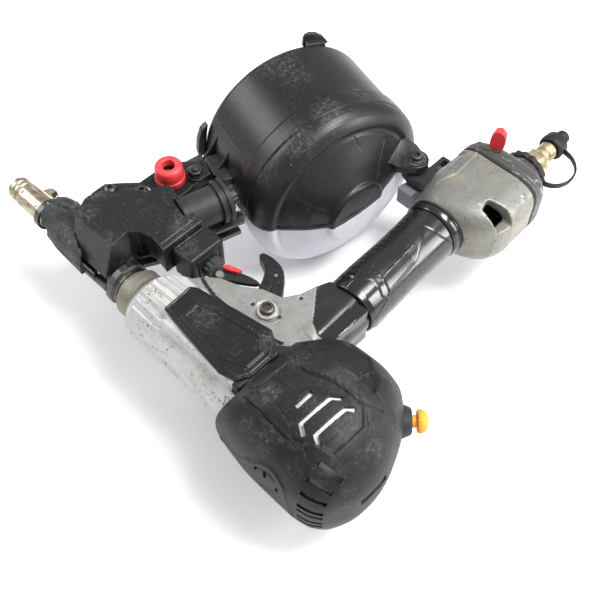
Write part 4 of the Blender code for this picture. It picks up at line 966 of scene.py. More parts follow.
def engrave_head(skin):
    """Draws the head's panels, ridges and lines on its skin."""
    for outline, height, edge in HEAD_PANELS:
        raise_patch(skin, outline, height, edge)
    for line in ([(234, 27), (249, 28), (262, 30), (271.5, 30), (282, 29), (294, 27)],
                 [(238, 14), (251, 15), (264, 20), (273, 21), (281, 20)]):
        outline_groove(skin, line, 1.5, -0.35)
    outline_groove(skin, [(234.5, -19), (249, -20), (268, -22), (276, -19), (279, -10)], 1.3, -0.4)
    for line in ([(233, -16.5), (249, -17.6), (266, -19), (273.5, -15), (281, -19)],
                 [(252, -10), (262, -12), (271, -17.5)],
                 [(234, 30.5), (249, 30.4), (262, 32.6), (268.6, 33.6), (270.6, 42.6)],
                 [(283, 22.5), (293, 14), (297, 3)]):
        outline_groove(skin, line, 0.8, 0.75)
    outline_groove(skin, [(261, -15), (276, -18)], 1.2, 0.4)
    outline_groove(skin, [(229.5, -10), (238, -9), (243, -13)], 2.2, 0.5)
    outline_groove(skin, [(229, 5), (236, 6), (241, 2)], 2.2, 0.45)
    groove(skin, SIDE_RIDGE, 2.6, -0.9)
    groove(skin, [(x, y, z + 4.0) for x, y, z in SIDE_RIDGE[:3]], 1.2, 0.7)
    groove(skin, [(x, y, z - 5.0) for x, y, z in SIDE_RIDGE[2:6]], 1.4, 0.8)
    groove(skin, [(225, -28, -16), (246, -31, -14), (262, -33, -6), (276, -33, 2)], 1.6, 0.8)
    groove(skin, [(298.6, 28.7, 23), (294, 27, 31)], 1.5, 0.4)


def head_knives():
    """What is cut out of the head: its inside, its front, the vents, the slots and the small holes."""
    inner_sections = [(214,) + HEAD_SECTIONS[0][1:]] + HEAD_SECTIONS[:7] + [(304.5, -22, 26, 25)]
    hollow = from_rings("hollow", head_rings(inner_sections, 3.0, 120, HEAD_WALL))
    front = prism("front", [(200, 16), (231, 16), (237, 37), (243.2, 52), (243.2, 84), (200, 84)], -21, 21, 0)
    knives = [hollow, front]
    for side in (1, -1):
        low, high = sorted((side * 30, side * 50))
        for line in VENTS:
            knives.append(prism("vent", ribbon(line, VENT_WIDTH), low, high, 0))
    for angle, width in ((116, 3.2), (131, 3.2), (145.5, 3.0), (163, 2.7), (173, 2.1)):
        for side in (1, -1):
            slot = prism("slot", [(287, 22), (300.4, 22), (300.4, 50), (287, 50)], -width / 2, width / 2, 0)
            slot.data.transform(Matrix.Rotation(math.radians(side * angle), 4, "X"))
            knives.append(slot)
    knives.append(prism("end_slot", [(296, -8), (316, -8), (316, 12), (296, 12)], 2.5, 8.5, 0))
    for x, y, z, size in ((257, -33, 8, 1.5), (264, -34, 10, 1.9), (273, -34, 6, 1.5)):
        low, high, half = x - size * 0.6, x + size * 0.6, size * 1.4
        knives.append(prism("hole", [(low, y - 8), (high, y - 8), (high, y + 8), (low, y + 8)],
                            z - half, z + half, 0))
    knives.append(turned("button_hole", [(-9, 0), (-9, 11.4), (18, 11.4), (18, 0)], BUTTON, BUTTON_ALONG))
    return knives


def make_head():
    skin = from_rings("head_jacket", head_rings(HEAD_SECTIONS, 0.9, 300))
    engrave_head(skin)
    roughen(skin, 0.16, 9.0, 11)
    roughen(skin, 0.05, 2.6, 12)
    carve(skin, *head_knives())
    file_piece(smooth_shade(skin, 42), "rubber", replaces=["head_protector"])


# ---------------------------------------------------------------- cast body

HANDLE_TILT = math.radians(1.81)
HANDLE_X = 224.1
HANDLE_ALONG = (-math.sin(HANDLE_TILT), math.cos(HANDLE_TILT), 0.0)
PIVOT = (195.0, 38.0, 0.0)
BARREL_SECTIONS = [
    (117, 13, 13, 2), (119.5, 13, 13, 2), (120.2, 15.6, 15.6, 2), (121, 16, 16, 2), (127.4, 16, 16, 2),
    (128.4, 15.2, 15.4, 2), (129.4, 16.6, 17, 2), (133, 19.6, 20.2, 2), (136.5, 21, 23, 2.1),
    (158, 21, 25, 2.2), (163, 21, 26.5, 2.3), (224, 22.5, 28, 2.3), (227, 24.5, 28.5, 2.2),
    (236, 24.5, 28.5, 2.2),
]
WEB = [(134, 0), (136, 19), (146, 23.5), (151, 30), (158, 35.5), (171, 40), (182, 47.5), (194, 51), (200, 60),
       (203, 71), (206.5, 79.4), (236.5, 79.4), (236, 55), (235.5, 20), (235.5, 0)]
HOUSING_SECTIONS = [(166, 199.5, 240, 18, 2.2), (168, 198.6, 244.5, 19.8, 2.3), (170, 198, 248, 21, 2.5),
                    (173.5, 197.2, 252, 22.2, 2.8), (177, 196.5, 255, 23, 3.0), (183, 196.2, 257, 23.7, 3.3),
                    (190, 196, 258, 24, 3.6), (214, 196, 257, 24, 4.0)]


def handle_point(y):
    return np.array((HANDLE_X - y * math.tan(HANDLE_TILT), y, 0.0))


def bar(start, end, radius, radius_end=None, sides=64):
    start, end = np.array(start, float), np.array(end, float)
    length = float(np.linalg.norm(end - start))
    last = radius if radius_end is None else radius_end
    return turned("bar", [(0, 0), (0, radius), (length, last), (length, 0)], start, end - start, sides)


def rings_along_y(sections, count=160):
    rings = []
    for y, left, right, half, power in sections:
        across, up = soft_ring(left, right, half, power, power, count)
        rings.append(np.stack([across, np.full(count, float(y)), up], 1))
    return rings


def united(name, first, *others):
    carve(first, *others, operation="UNION")
    first.name = name
    return first


def paint_regions(piece, looks, choose):
    """Gives each face one of several looks."""
    piece.data.materials.clear()
    for look in looks:
        piece.data.materials.append(LOOKS[look])
    count = len(piece.data.polygons)
    centres = np.empty(count * 3)
    piece.data.polygons.foreach_get("center", centres)
    piece.data.polygons.foreach_set("material_index", choose(centres.reshape(-1, 3) / MM).astype(np.int32))


# The gap between the frame and the side plate: grooved, and painted black along its line as painted shade.
FRAME_GAP = [(151, 27.5), (156, 26.0), (165.9, 23.9), (181.4, 23.8), (196.4, 25.0), (209.3, 25.7), (216, 28)]
PLATE_TAIL = [(210, 22), (221, 30), (226, 27), (233, 20), (234, -17), (221, -15), (222, 8)]
FRAME_PINS = ((185.3, 35.6), (202.9, 39.9), (202.7, 58.0))
GRIP_ROOT = [(203.2, 70.6), (212.4, 59.2), (219.6, 50), (226.4, 46.5), (245, 46), (245, 84), (200, 84)]


def cast_body():
    """The casting's shape: barrel, boss, web, handle and end housing, with their bores."""
    barrel_rings = []
    for x, wide, half, power in BARREL_SECTIONS:
        across, up = soft_ring(-wide, wide, half, power, power, 160)
        barrel_rings.append(np.stack([np.full(160, float(x)), across, up], 1))
    body = from_rings("tool_casting", barrel_rings)
    boss = prism("boss", [(163, -14), (226, -14), (226, 18), (163, 18)], -29, 29, 1.5)
    web = prism("web", WEB, -15, 15, 0.5)
    handle = bar(handle_point(42), handle_point(170), 16)
    housing = from_rings("housing", rings_along_y(HOUSING_SECTIONS))
    united("tool_casting", body, boss, web, handle, housing)
    chamber = from_rings("chamber", rings_along_y([(176, 202, 251, 19, 3.2), (220, 202, 251, 19, 3.2)], 80))
    slot = prism("slot", [(130, 21.5), (206.5, 21.5), (206.5, 66), (130, 66)], -5.1, 5.1, 0)
    notch = prism("notch", [(240, 179), (251, 178), (262, 182), (262, 190), (250, 190.5), (238, 187)], 11,
                  30, 1.5)
    air = bar(handle_point(12), handle_point(182), 11.5)
    carve(body, bar((138, 0, 0), (238, 0, 0), 18.5), bar((124.2, 0, 0), (140, 0, 0), 12.5),
          bar((110, 0, 0), (130, 0, 0), 4), air, chamber, slot, bar((204, 56, 0), (216.5, 56, 0), 6.3),
          bar((*PIVOT[:2], -30), (*PIVOT[:2], 30), 2.7), notch)
    return remeshed(body, 0.62, 3)


def engrave_body(body):
    """Draws the casting's ribs, edges, bosses and pins."""
    for y in (-10.5, -5.5, -0.5, 4.5, 9.5, 14):
        outline_groove(body, [(137, y), (161, y * 1.1)], 1.6, -1.0)
        outline_groove(body, [(137, y + 2.6), (161, y * 1.1 + 2.6)], 0.9, 0.6)
    outline_groove(body, [(137.5, -14), (162, -15)], 1.3, 0.6)
    groove(body, [(136, -20.5, 4), (164, -20.8, 5)], 1.5, -0.6)
    groove(body, [(164, -20.9, -3), (224, -22.2, -3)], 1.4, 0.5)
    groove(body, [(136, -20.8, 0.5), (220, -22.0, 1.5)], 1.0, -0.5)
    ring = round_end(PIVOT, 8.2, 0, 360, 40)
    raise_patch(body, ring[:-1], -0.5, 0.8)
    outline_groove(body, ring, 0.9, -0.45)
    for x, y in FRAME_PINS:
        dent(body, (x, y), 1.9, 0.8)
    outline_groove(body, FRAME_GAP, 1.2, 0.9)
    outline_groove(body, [(165.9, 26.2), (181.4, 25.9), (196.4, 27.0), (208, 28)], 0.9, -0.4)
    raise_patch(body, [(203.2, 70.6), (212.4, 59.2), (219.6, 50), (226.4, 46.5), (237, 46), (238, 84),
                       (206, 84)],
                -0.7, 0.8)
    outline_groove(body, [(217.7, 41.0), (226, 38), (234, 34)], 1.3, -0.5)
    groove(body, [(200, 172, 21), (214, 178, 23.2), (236, 181, 23.4)], 1.8, -0.35)
    raise_patch(body, [(198, 196), (206, 196), (207, 211), (197, 211)], -1.3, 1.4)
    outline_groove(body, [(209, 214), (210, 190), (205, 178)], 1.5, -0.6)
    groove(body, [(197, 186, 15), (196, 196, 16), (196, 204, 16)], 2.6, -0.8)
    groove(body, [(196.5, 196, 0), (196.5, 196, 16)], 1.4, 0.6)
    for x, y in ((203, 207), (252, 207)):
        dent(body, (x, y), 2.4, -0.8)


BODY_LOOKS = ("barrel", "frame", "housing", "collar", "grip", "soft_black")


def body_region(at):
    """Which of the body's looks each face centre takes."""
    flat = at[:, :2]
    found = np.zeros(len(at))
    found[(at[:, 1] > 21.5) & (at[:, 0] > 145)] = BODY_LOOKS.index("frame")
    found[inside(flat, GRIP_ROOT)] = BODY_LOOKS.index("grip")
    # Painted shade: faces along the gap between frame and side plate take the black look, standing for the
    # shade in that gap.
    found[line_distance(flat, FRAME_GAP) < 1.2] = BODY_LOOKS.index("soft_black")
    found[inside(flat, PLATE_TAIL)] = BODY_LOOKS.index("soft_black")
    found[at[:, 1] > 161] = BODY_LOOKS.index("housing")
    found[(at[:, 0] < 134) & (at[:, 1] < 21)] = BODY_LOOKS.index("collar")
    return found


def make_body():
    body = cast_body()
    engrave_body(body)
    roughen(body, 0.06, 4.0, 21)
    file_piece(smooth_shade(body, 50), "barrel", replaces=["body_casting"])
    pins = [turned("pin", [(13.0, 0), (13.0, 1.25), (14.75, 1.25), (14.9, 1.0), (14.9, 0)], (x, y, 0), UP, 24)
            for x, y in FRAME_PINS]
    file_piece(joined("frame_pin_ends", *pins), "soft_black")
    paint_regions(body, BODY_LOOKS, body_region)


PLATE_OUTLINE = [(160, -8), (159, 12), (163, 15), (185, 19), (213, 24), (221, 20), (226.3, 12), (226.3, -4),
                 (222, -12), (212, -15), (196, -13)]
PANEL_OUTLINE = [(171, -5), (170, 9), (184, 13), (214, 18), (221, 11), (221, -3), (205, -9)]


def shrunk(outline, distance):
    """The outline moved inwards by a distance."""
    points = np.array(outline, float)
    before, after = np.roll(points, 1, 0), np.roll(points, -1, 0)

    def inward(a, b):
        run = b - a
        run /= np.linalg.norm(run, axis=1)[:, None]
        return np.stack([-run[:, 1], run[:, 0]], 1)

    area = np.sum(points[:, 0] * after[:, 1] - after[:, 0] * points[:, 1])
    one, two = inward(before, points), inward(points, after)
    way = one + two
    way /= np.maximum(np.sum(way * one, axis=1), 0.3)[:, None]
    return [tuple(p) for p in points + way * distance * math.copysign(1, area)]


def make_side_plates():
    for name, side in (("left_side_plate", 1), ("right_side_plate", -1)):
        cover = prism(name + "_moulding", PLATE_OUTLINE, 29.3, 31.2, 0.7)
        panel = prism("panel", PANEL_OUTLINE, 30.5, 31.95, 0.5)
        united(name + "_moulding", cover, panel)
        remeshed(cover, 0.4, 2)
        raise_patch(cover, shrunk(PANEL_OUTLINE, 2.4), -0.9, 0.7)
        outline_groove(cover, shrunk(PLATE_OUTLINE, 1.7) + shrunk(PLATE_OUTLINE, 1.7)[:1], 0.8, 0.45)
        outline_groove(cover, [(214, 18), (218, 22)], 0.8, 0.4)
        outline_groove(cover, [(221, 11), (226, 12)], 0.8, 0.4)
        outline_groove(cover, [(221, -3), (226, -5)], 0.8, 0.4)
        if side < 0:
            cover.data.transform(Matrix.Diagonal((1, 1, -1, 1)))
            cover.data.flip_normals()
        file_piece(smooth_shade(cover, 45), "plate", replaces=[name])


# ---------------------------------------------------------------- nose, covers and feeder

TIP_RADIUS = 8.4


def make_tip():
    profile = [(0, 4.4), (0, 7.4), (0.5, 7.8), (2.2, 8.0), (3.9, 8.0), (4.2, 7.7), (4.4, 7.2), (5.6, 7.2),
               (5.9, 7.9), (6.3, 8.2), (7.7, 8.2), (8.0, 7.9), (8.2, 7.5), (9.0, 7.5), (9.4, 8.0),
               (10.2, TIP_RADIUS), (35.4, TIP_RADIUS), (36, 8.0), (36, 6.9), (5.5, 6.9), (5.5, 4.4)]
    tip = turned("nose_tip_steel", profile, (0, 0, 0), (1, 0, 0), 96)
    knives = []
    for i in range(8):
        angle = math.pi * (i + 0.45) / 4
        out = np.array((0, math.cos(angle), math.sin(angle)))
        knives.append(bar(out * 3.6 - (0.9, 0, 0), out * 12 - (0.9, 0, 0), 1.9, sides=24))
    carve(tip, *knives)
    ear = prism("ear", [(18.5, 6.8), (20.4, 11.8), (22.2, 13.2), (26, 13.4), (29.4, 12.2), (30.5, 7.2)], 1.0,
                5.5, 0.5)
    united("nose_tip_steel", tip, ear)
    remeshed(tip, 0.26, 1)
    points, out = coordinates(tip), normals(tip)
    angle = np.arctan2(points[:, 2], points[:, 1])
    flats = np.clip(np.cos(angle * 6 + 0.7), 0, 1) ** 2
    radius = np.hypot(points[:, 1], points[:, 2])
    along = smoothstep((points[:, 0] - 11.5) / 1.5) * smoothstep((33.5 - points[:, 0]) / 2)
    shift(tip, points - out * (flats * along * (radius > 7.8) * (radius < 8.6) * 0.45)[:, None])
    groove(tip, [(12, 3, 7.8), (33, 3.4, 7.7)], 0.7, 0.4)
    roughen(tip, 0.05, 1.6, 31)
    file_piece(smooth_shade(tip, 45), "tip", "nose_tip_piece", ["contact_tip"])
    bit = prism("tip_ear_pad", [(25.6, 9.0), (26.2, 12.9), (29.2, 11.9), (30.0, 8.6)], 5.5, 6.0, 0.15)
    file_piece(bit, "soft_black", "nose_tip_piece")


def make_guard():
    stops = [(35, -8.5, 12.5, 11.5), (38, -9.8, 15.0, 13.2), (46, -11, 16.6, 14.6), (60, -13.2, 17.0, 15.6),
             (84, -14.2, 17.0, 15.6)]
    rings = []
    for x in np.linspace(35, 84, 50):
        left, right, half = section_at(stops, x)
        across, up = soft_ring(left, right, half, 2.5, 2.5, 140)
        rings.append(np.stack([np.full(140, x), across, up], 1))
    guard = from_rings("nose_guard_rubber", rings)
    box = [(56.5, -10.6), (90, -10.6), (90, 13.6), (56.5, 13.6)]
    carve(guard, bar((30, 0, 0), (57.4, 0, 0), 12.0, 10.7), prism("room", box, -16.5, 9.4, 0),
          prism("beside_cover", [(62, 22), (62, 12), (70, -4), (86, -12.4), (90, -12.4), (90, 22)], -30, 30,
                0),
          bar((30, 1.5, 9.8), (90, 1.8, 12.4), 2.3),
          prism("ear_room", [(33, 6), (48, 6), (48, 20), (33, 20)], 0.2, 6.3, 0),
          prism("below", [(54, -20), (90, -20), (90, 20), (54, 20)], -20, -4, 0))
    remeshed(guard, 0.42, 3)
    raise_patch(guard, [(34.5, 4.8), (34.5, 14), (41, 16.5), (50, 15.5), (55, 11), (47, 5.6)], 0.5, 1.6)
    outline_groove(guard, [(36, 3.6), (46, 4.0), (56, 7.6), (61, 10)], 1.5, 1.3)
    outline_groove(guard, [(47, 14.5), (54, 13.0), (60, 11)], 1.3, -0.6)
    outline_groove(guard, [(52, 3.6), (60, 5.6)], 1.6, -0.7)
    outline_groove(guard, [(52, -3), (60, -1), (66, -1)], 1.2, 0.6)
    outline_groove(guard, [(43, -6), (50, -7.6), (60, -11)], 1.8, -0.5)
    groove(guard, [(40, -10, -3), (52, -12.4, -2), (70, -14, 2), (84, -14.2, 6)], 1.5, 0.6)
    roughen(guard, 0.14, 3.5, 41)
    file_piece(smooth_shade(guard, 50), "guard", replaces=["nose_guard"])


def make_covers():
    cover = soft_copy("nose_cover", "feeder_cover", 0.4, 9)
    outline_groove(cover, [(126.2, 21), (126.2, 50)], 1.7, -0.35)
    outline_groove(cover, [(123.4, 22), (123.4, 49)], 1.0, 0.45)
    outline_groove(cover, [(64.5, 12), (68, 20), (74.5, 27.5)], 1.4, 0.6)
    outline_groove(cover, [(70, -2), (82, 3), (96, 8), (100.5, 11)], 2.0, -0.35)
    outline_groove(cover, [(96.5, 52.5), (109, 47.6), (122, 48.2)], 1.2, 0.3)
    roughen(cover, 0.1, 6.0, 51)
    file_piece(smooth_shade(cover, 50), "cover", replaces=["nose_cover"])
    box = soft_copy("adjuster_housing", "adjuster_box", 0.38, 5)
    outline_groove(box, [(130.2, 27), (130.2, 49.5)], 1.2, 0.5)
    outline_groove(box, [(128.6, 27), (143.4, 27), (143.6, 49.5)], 1.3, -0.3)
    groove(box, [(145, 30, 8), (145, 30, 22), (145, 47, 22), (145, 47, 8)], 1.2, 0.6)
    roughen(box, 0.06, 5.0, 52)
    carve(box, bar((120, 33.5, 10), (143.5, 33.5, 10), 2.6, sides=32))
    file_piece(smooth_shade(box, 50), "cover", replaces=["adjuster_housing"])


def dome_screw(name, point, head, height):
    """A dome head with a six-sided socket, on its shank."""
    profile = [(-5, 0), (-5, 2.0), (0, 2.0), (0, head - 0.3), (0.3, head), (height * 0.35, head)]
    profile += [(height * (0.35 + 0.65 * math.sin(a)), head * math.cos(a) ** 0.9)
                for a in np.linspace(0.12, 1.5, 10)] + [(height, 0)]
    screw = turned(name, profile, point, UP, 48)
    x, y, z = point
    carve(screw, bar((x, y, z + height - 1.5), (x, y, z + height + 3), head * 0.42, sides=6))
    return screw


def make_cover_screws():
    front = dome_screw("front_screw", (58.5, 33.5, 15.4), 4.0, 3.4)
    file_piece(smooth_shade(front, 35), "dark_steel", replaces=["front_cover_screw"])
    rear = dome_screw("rear_screw", (75.6, 45.4, 16.7), 4.4, 3.8)
    file_piece(smooth_shade(rear, 35), "dark_steel", replaces=["rear_cover_screw"])
    washer = turned("rear_screw_washer", [(0, 2.4), (0, 5.7), (0.3, 6.0), (1.0, 6.0), (1.3, 5.7), (1.3, 2.4)],
                    (75.6, 45.4, 15.35), UP, 64)
    file_piece(washer, "washer")


FEED = tuple(-DRUM_ACROSS)
FEEDER_RING = (117.1, 74.4, 18.4)
CLAMP_TURN = math.radians(-62)


def feeder_at(along):
    return np.array(FEEDER_RING) + np.array(FEED) * along


def on_clamp(piece):
    """Takes a piece drawn with Z along the feeder to the clamp's tab."""
    turn = Matrix(frame_of(FEED).tolist()).to_4x4() @ Matrix.Rotation(CLAMP_TURN, 4, "Z")
    piece.data.transform(Matrix.Translation(Vector(FEEDER_RING) * MM) @ turn)
    return piece


def make_feeder():
    tube = turned("feeder_tube", [(-3.5, 10.4), (-3.5, 11.8), (26.4, 11.8), (27, 11.2), (27, 3.0),
                                  (24.5, 3.0), (24.5, 10.4)], FEEDER_RING, FEED, 96)
    file_piece(tube, "feeder", replaces=["feeder_cylinder"])
    ring = turned("feeder_clamp", [(-4.0, 12.1), (-4.0, 13.5), (-3.6, 14.0), (-1.2, 14.0), (-0.8, 13.2),
                                   (0.2, 13.2), (0.6, 14.0), (3.0, 14.0), (3.4, 13.5), (3.4, 12.1)],
                  FEEDER_RING, FEED, 96)
    tab = prism("tab", [(12.6, -3.2), (15.4, -3.2), (16.2, 0), (15.4, 3.2), (12.6, 3.2)], -3.9, 3.3, 0.5)
    clamp = joined("feeder_clamp", ring, on_clamp(tab))
    file_piece(clamp, "clamp", replaces=["feeder_clamp_ring"])
    mark = prism("feeder_clamp_slot", [(16.0, -1.9), (16.35, -1.9), (16.35, 1.9), (16.0, 1.9)], -1.0, 3.2,
                 0.05)
    file_piece(on_clamp(mark), "washer")
    knob = turned("feeder_knob", [(-10.4, 0), (-10.4, 4.6), (-10.0, 5.4), (-9.4, 6.0), (-5.2, 6.0),
                                  (-5.2, 10.6), (-4.8, 11.2), (-3.9, 11.2), (-3.9, 10.1), (2.0, 10.1),
                                  (2.0, 0)],
                  FEEDER_RING, FEED, 72)
    basis = frame_of(FEED)
    knives = []
    for i in range(12):
        angle = 2 * math.pi * i / 12
        out = basis @ np.array((math.cos(angle), math.sin(angle), 0))
        knives.append(bar(feeder_at(-12) + out * 6.3, feeder_at(-5.9) + out * 6.3, 0.8, sides=12))
    carve(knob, *knives)
    file_piece(smooth_shade(knob, 30), "black", replaces=["feeder_end_cap"])


NECK_BOLT = (87.5, 80.0)


def make_neck():
    neck = soft_copy("magazine_neck", "neck_moulding", 0.4, 4)
    outline_groove(neck, round_end(NECK_BOLT, 8.6, 0, 360, 32), 1.2, -0.5)
    outline_groove(neck, [(69, 62), (71, 77), (80.5, 89)], 1.0, -0.5)
    outline_groove(neck, [(54, 24), (54, 34), (60, 41), (68, 50)], 1.0, -0.4)
    roughen(neck, 0.07, 4.0, 61)
    file_piece(smooth_shade(neck, 50), "cover", replaces=["magazine_neck"])
    bolt_piece = turned("neck_bolt_steel", [(-5, 0), (-5, 2.4), (0, 2.4), (0, 5.9), (0.3, 6.2), (1.1, 6.2),
                                            (1.4, 5.9), (1.4, 5.0), (2.2, 5.0), (2.2, 2.6), (6.6, 2.6),
                                            (7.2, 2.0), (7.2, 0)],
                        (*NECK_BOLT, 15.3), UP, 48)
    nut = prism("nut", round_end(NECK_BOLT, 4.9, 0, 300, 6), 16.5, 20.6, 0.5)
    head = joined("neck_bolt_steel", bolt_piece, nut)
    file_piece(smooth_shade(head, 30), "dark_steel", replaces=["neck_bolt"])
    cap = turned("spare_cap", [(0, 7.0), (0, 9.4), (0.4, 9.7), (4.4, 9.7), (4.8, 9.3), (5.2, 9.0),
                               (5.6, 9.2), (12.0, 9.0), (13.2, 8.5), (13.9, 7.6), (14.2, 6.6), (14.2, 4.9),
                               (13.8, 4.4), (9.0, 4.2), (9.0, 7.0)],
                 (79.3, 65.9, 15.3), UP, 96)
    file_piece(smooth_shade(cap, 40), "red", replaces=["spare_nose_cap"])


# ---------------------------------------------------------------- grip, end cap and air plug

GRIP_LOW, GRIP_HIGH = 80.0, 158.0


GRIP_PANEL = [(25, 99), (33.5, 92), (57.5, 92), (57.5, 149), (42, 155), (37, 147), (36, 104), (25, 101)]
GRIP_SEAMS = (      # line in millimetres round and along the grip, half width, height
    ([(4, 82), (9.5, 96), (13, 99), (15, 126), (17, 130), (27, 147), (33, 153), (45, 157)], 0.75, 0.42),
    ([(24, 97), (22, 100), (23.5, 132)], 0.6, 0.35),
    ([(9.5, 96), (14, 93), (24, 96), (33, 90), (45, 88)], 0.7, 0.4),
    ([(13, 99), (26, 101), (34, 104)], 0.6, 0.3),
    ([(33, 80), (33, 88), (45, 90)], 0.6, -0.3),
    ([(27, 147), (15, 151), (6, 157)], 0.6, -0.3),
)


def scale_relief(flat):
    """The height of the grip's scale pattern, which fills its panel only."""
    reach = line_distance(flat, GRIP_PANEL + GRIP_PANEL[:1])
    signed = np.where(inside(flat, GRIP_PANEL), reach, -reach)
    share = smoothstep(signed / 1.2 + 0.1)
    scale_x, scale_y = flat[:, 0] / 3.1, flat[:, 1] / 4.6
    row = np.floor(scale_y)
    cell_x = (scale_x + 0.5 * (row % 2)) % 1 - 0.5
    cell_y = scale_y % 1
    scales = np.clip(1 - (np.abs(cell_x) * 1.7) ** 2 - (cell_y - 0.35) ** 2 * 1.6, 0, 1) * 0.42
    return share * (scales - 0.5)


def make_grip():
    profile = [(GRIP_LOW, 16.3), (GRIP_LOW, 17.2), (GRIP_LOW + 0.5, 17.7), (84, 18.4), (92, 18.6),
               (100, 18.7), (112, 18.4), (125, 18.1), (142, 18.4), (GRIP_HIGH - 0.6, 18.8),
               (GRIP_HIGH, 18.3), (GRIP_HIGH, 16.3)]
    line = [tuple(p) for p in resampled(profile[1:-1], 0.42)]
    grip = turned("grip_moulding", profile[:1] + line + profile[-1:], handle_point(0), HANDLE_ALONG, 290)
    points, out = coordinates(grip), normals(grip)
    local = points - handle_point(0)
    along = local @ np.array(HANDLE_ALONG)
    aside = local @ np.array((math.cos(HANDLE_TILT), math.sin(HANDLE_TILT), 0))
    angle = np.degrees(np.arctan2(points[:, 2], aside))
    skin = (np.hypot(points[:, 2], aside) > 17.0) & (np.abs(out @ np.array(HANDLE_ALONG)) < 0.5)
    for side in (1, -1):
        turn = angle * side
        flat = np.stack([turn * 18.4 * math.pi / 180, along], 1)
        points = points + out * (skin * scale_relief(flat))[:, None]
        for seam, width, height in GRIP_SEAMS:
            share = smoothstep(1 - line_distance(flat, seam) / width)
            points = points + out * (skin * share * height)[:, None]
    shift(grip, points)
    file_piece(smooth_shade(grip, 50), "grip", replaces=["grip_sleeve"])
    collar = turned("grip_end_collar", [(158.3, 16.3), (158.3, 19.0), (158.8, 19.5), (160, 20.0),
                                        (162.4, 20.2), (162.8, 19.6), (163.2, 19.6), (163.6, 20.3),
                                        (164.5, 20.3), (164.8, 19.9), (164.8, 16.3)], handle_point(0),
                    HANDLE_ALONG, 128)
    file_piece(collar, "grip", replaces=["grip_collar"])


BOSS_X = 232.5
SELECTOR = (216.5, 224.0)
PLUG = (231.5, 0.0, 0.0)


def make_end():
    gasket = from_rings("housing_gasket", rings_along_y(
        [(214.3, 196.6, 256.4, 23.4, 4.0), (214.6, 196, 257, 24, 4.0), (215.7, 196, 257, 24, 4.0),
         (216.0, 196.6, 256.4, 23.4, 4.0)]))
    carve(gasket, from_rings("inner", rings_along_y([(210, 203, 250, 18, 3.2), (220, 203, 250, 18, 3.2)],
                                                    80)))
    file_piece(smooth_shade(gasket, 40), "soft_black", replaces=["end_gasket"])
    cap = from_rings("housing_end_cap", rings_along_y(
        [(216.3, 196, 257, 24, 4.0), (220, 196, 257, 24, 3.9), (223, 196.4, 257, 23.6, 3.8),
         (226.4, 197.4, 256, 22.8, 3.6), (229, 199, 254, 21.5, 3.4), (230.4, 200.4, 252.6, 20.5, 3.2),
         (231, 202, 251, 19.5, 3.0)]))
    boss = bar((BOSS_X, 228, 0), (BOSS_X, 240, 0), 16.5, 13.5, 96)
    united("housing_end_cap", cap, boss)
    pocket = from_rings("pocket", rings_along_y([(210, 205, 248, 16, 3.0), (226, 205, 248, 16, 3.0)], 80))
    carve(cap, pocket, bar((PLUG[0], 220, 0), (PLUG[0], 245, 0), 6.6),
          bar((*SELECTOR, 10), (*SELECTOR, 30), 3.0))
    remeshed(cap, 0.5, 3)
    outline_groove(cap, [(196, 219.4), (257, 219.4)], 1.0, 0.5)
    groove(cap, [(205, 231, 16), (222, 231, 19), (244, 231, 19)], 1.4, 0.6)
    for x in (203, 250):
        dent(cap, (x, 225), 2.6, -0.8)
    for i in range(8):
        angle = 2 * math.pi * i / 8 + 0.3
        tip = (BOSS_X + 15.6 * math.cos(angle), 236, 15.6 * math.sin(angle))
        foot = (BOSS_X + 17.5 * math.cos(angle), 231, 17.5 * math.sin(angle))
        groove(cap, [foot, tip], 1.6, 0.6)
    roughen(cap, 0.12, 2.4, 71)
    file_piece(smooth_shade(cap, 50), "cap", replaces=["end_cap"])
    lever = soft_copy("selector_lever", "selector_paddle", 0.25, 2)
    file_piece(smooth_shade(lever, 45), "red_lever", "selector", ["selector_lever"])


def threads(start, end, outer, depth, pitch):
    """A profile with a ridge every pitch between two distances."""
    found = []
    at = start
    while at + pitch <= end + 1e-6:
        found += [(at, outer - depth), (at + pitch * 0.35, outer), (at + pitch * 0.6, outer),
                  (at + pitch * 0.95, outer - depth)]
        at += pitch
    return found


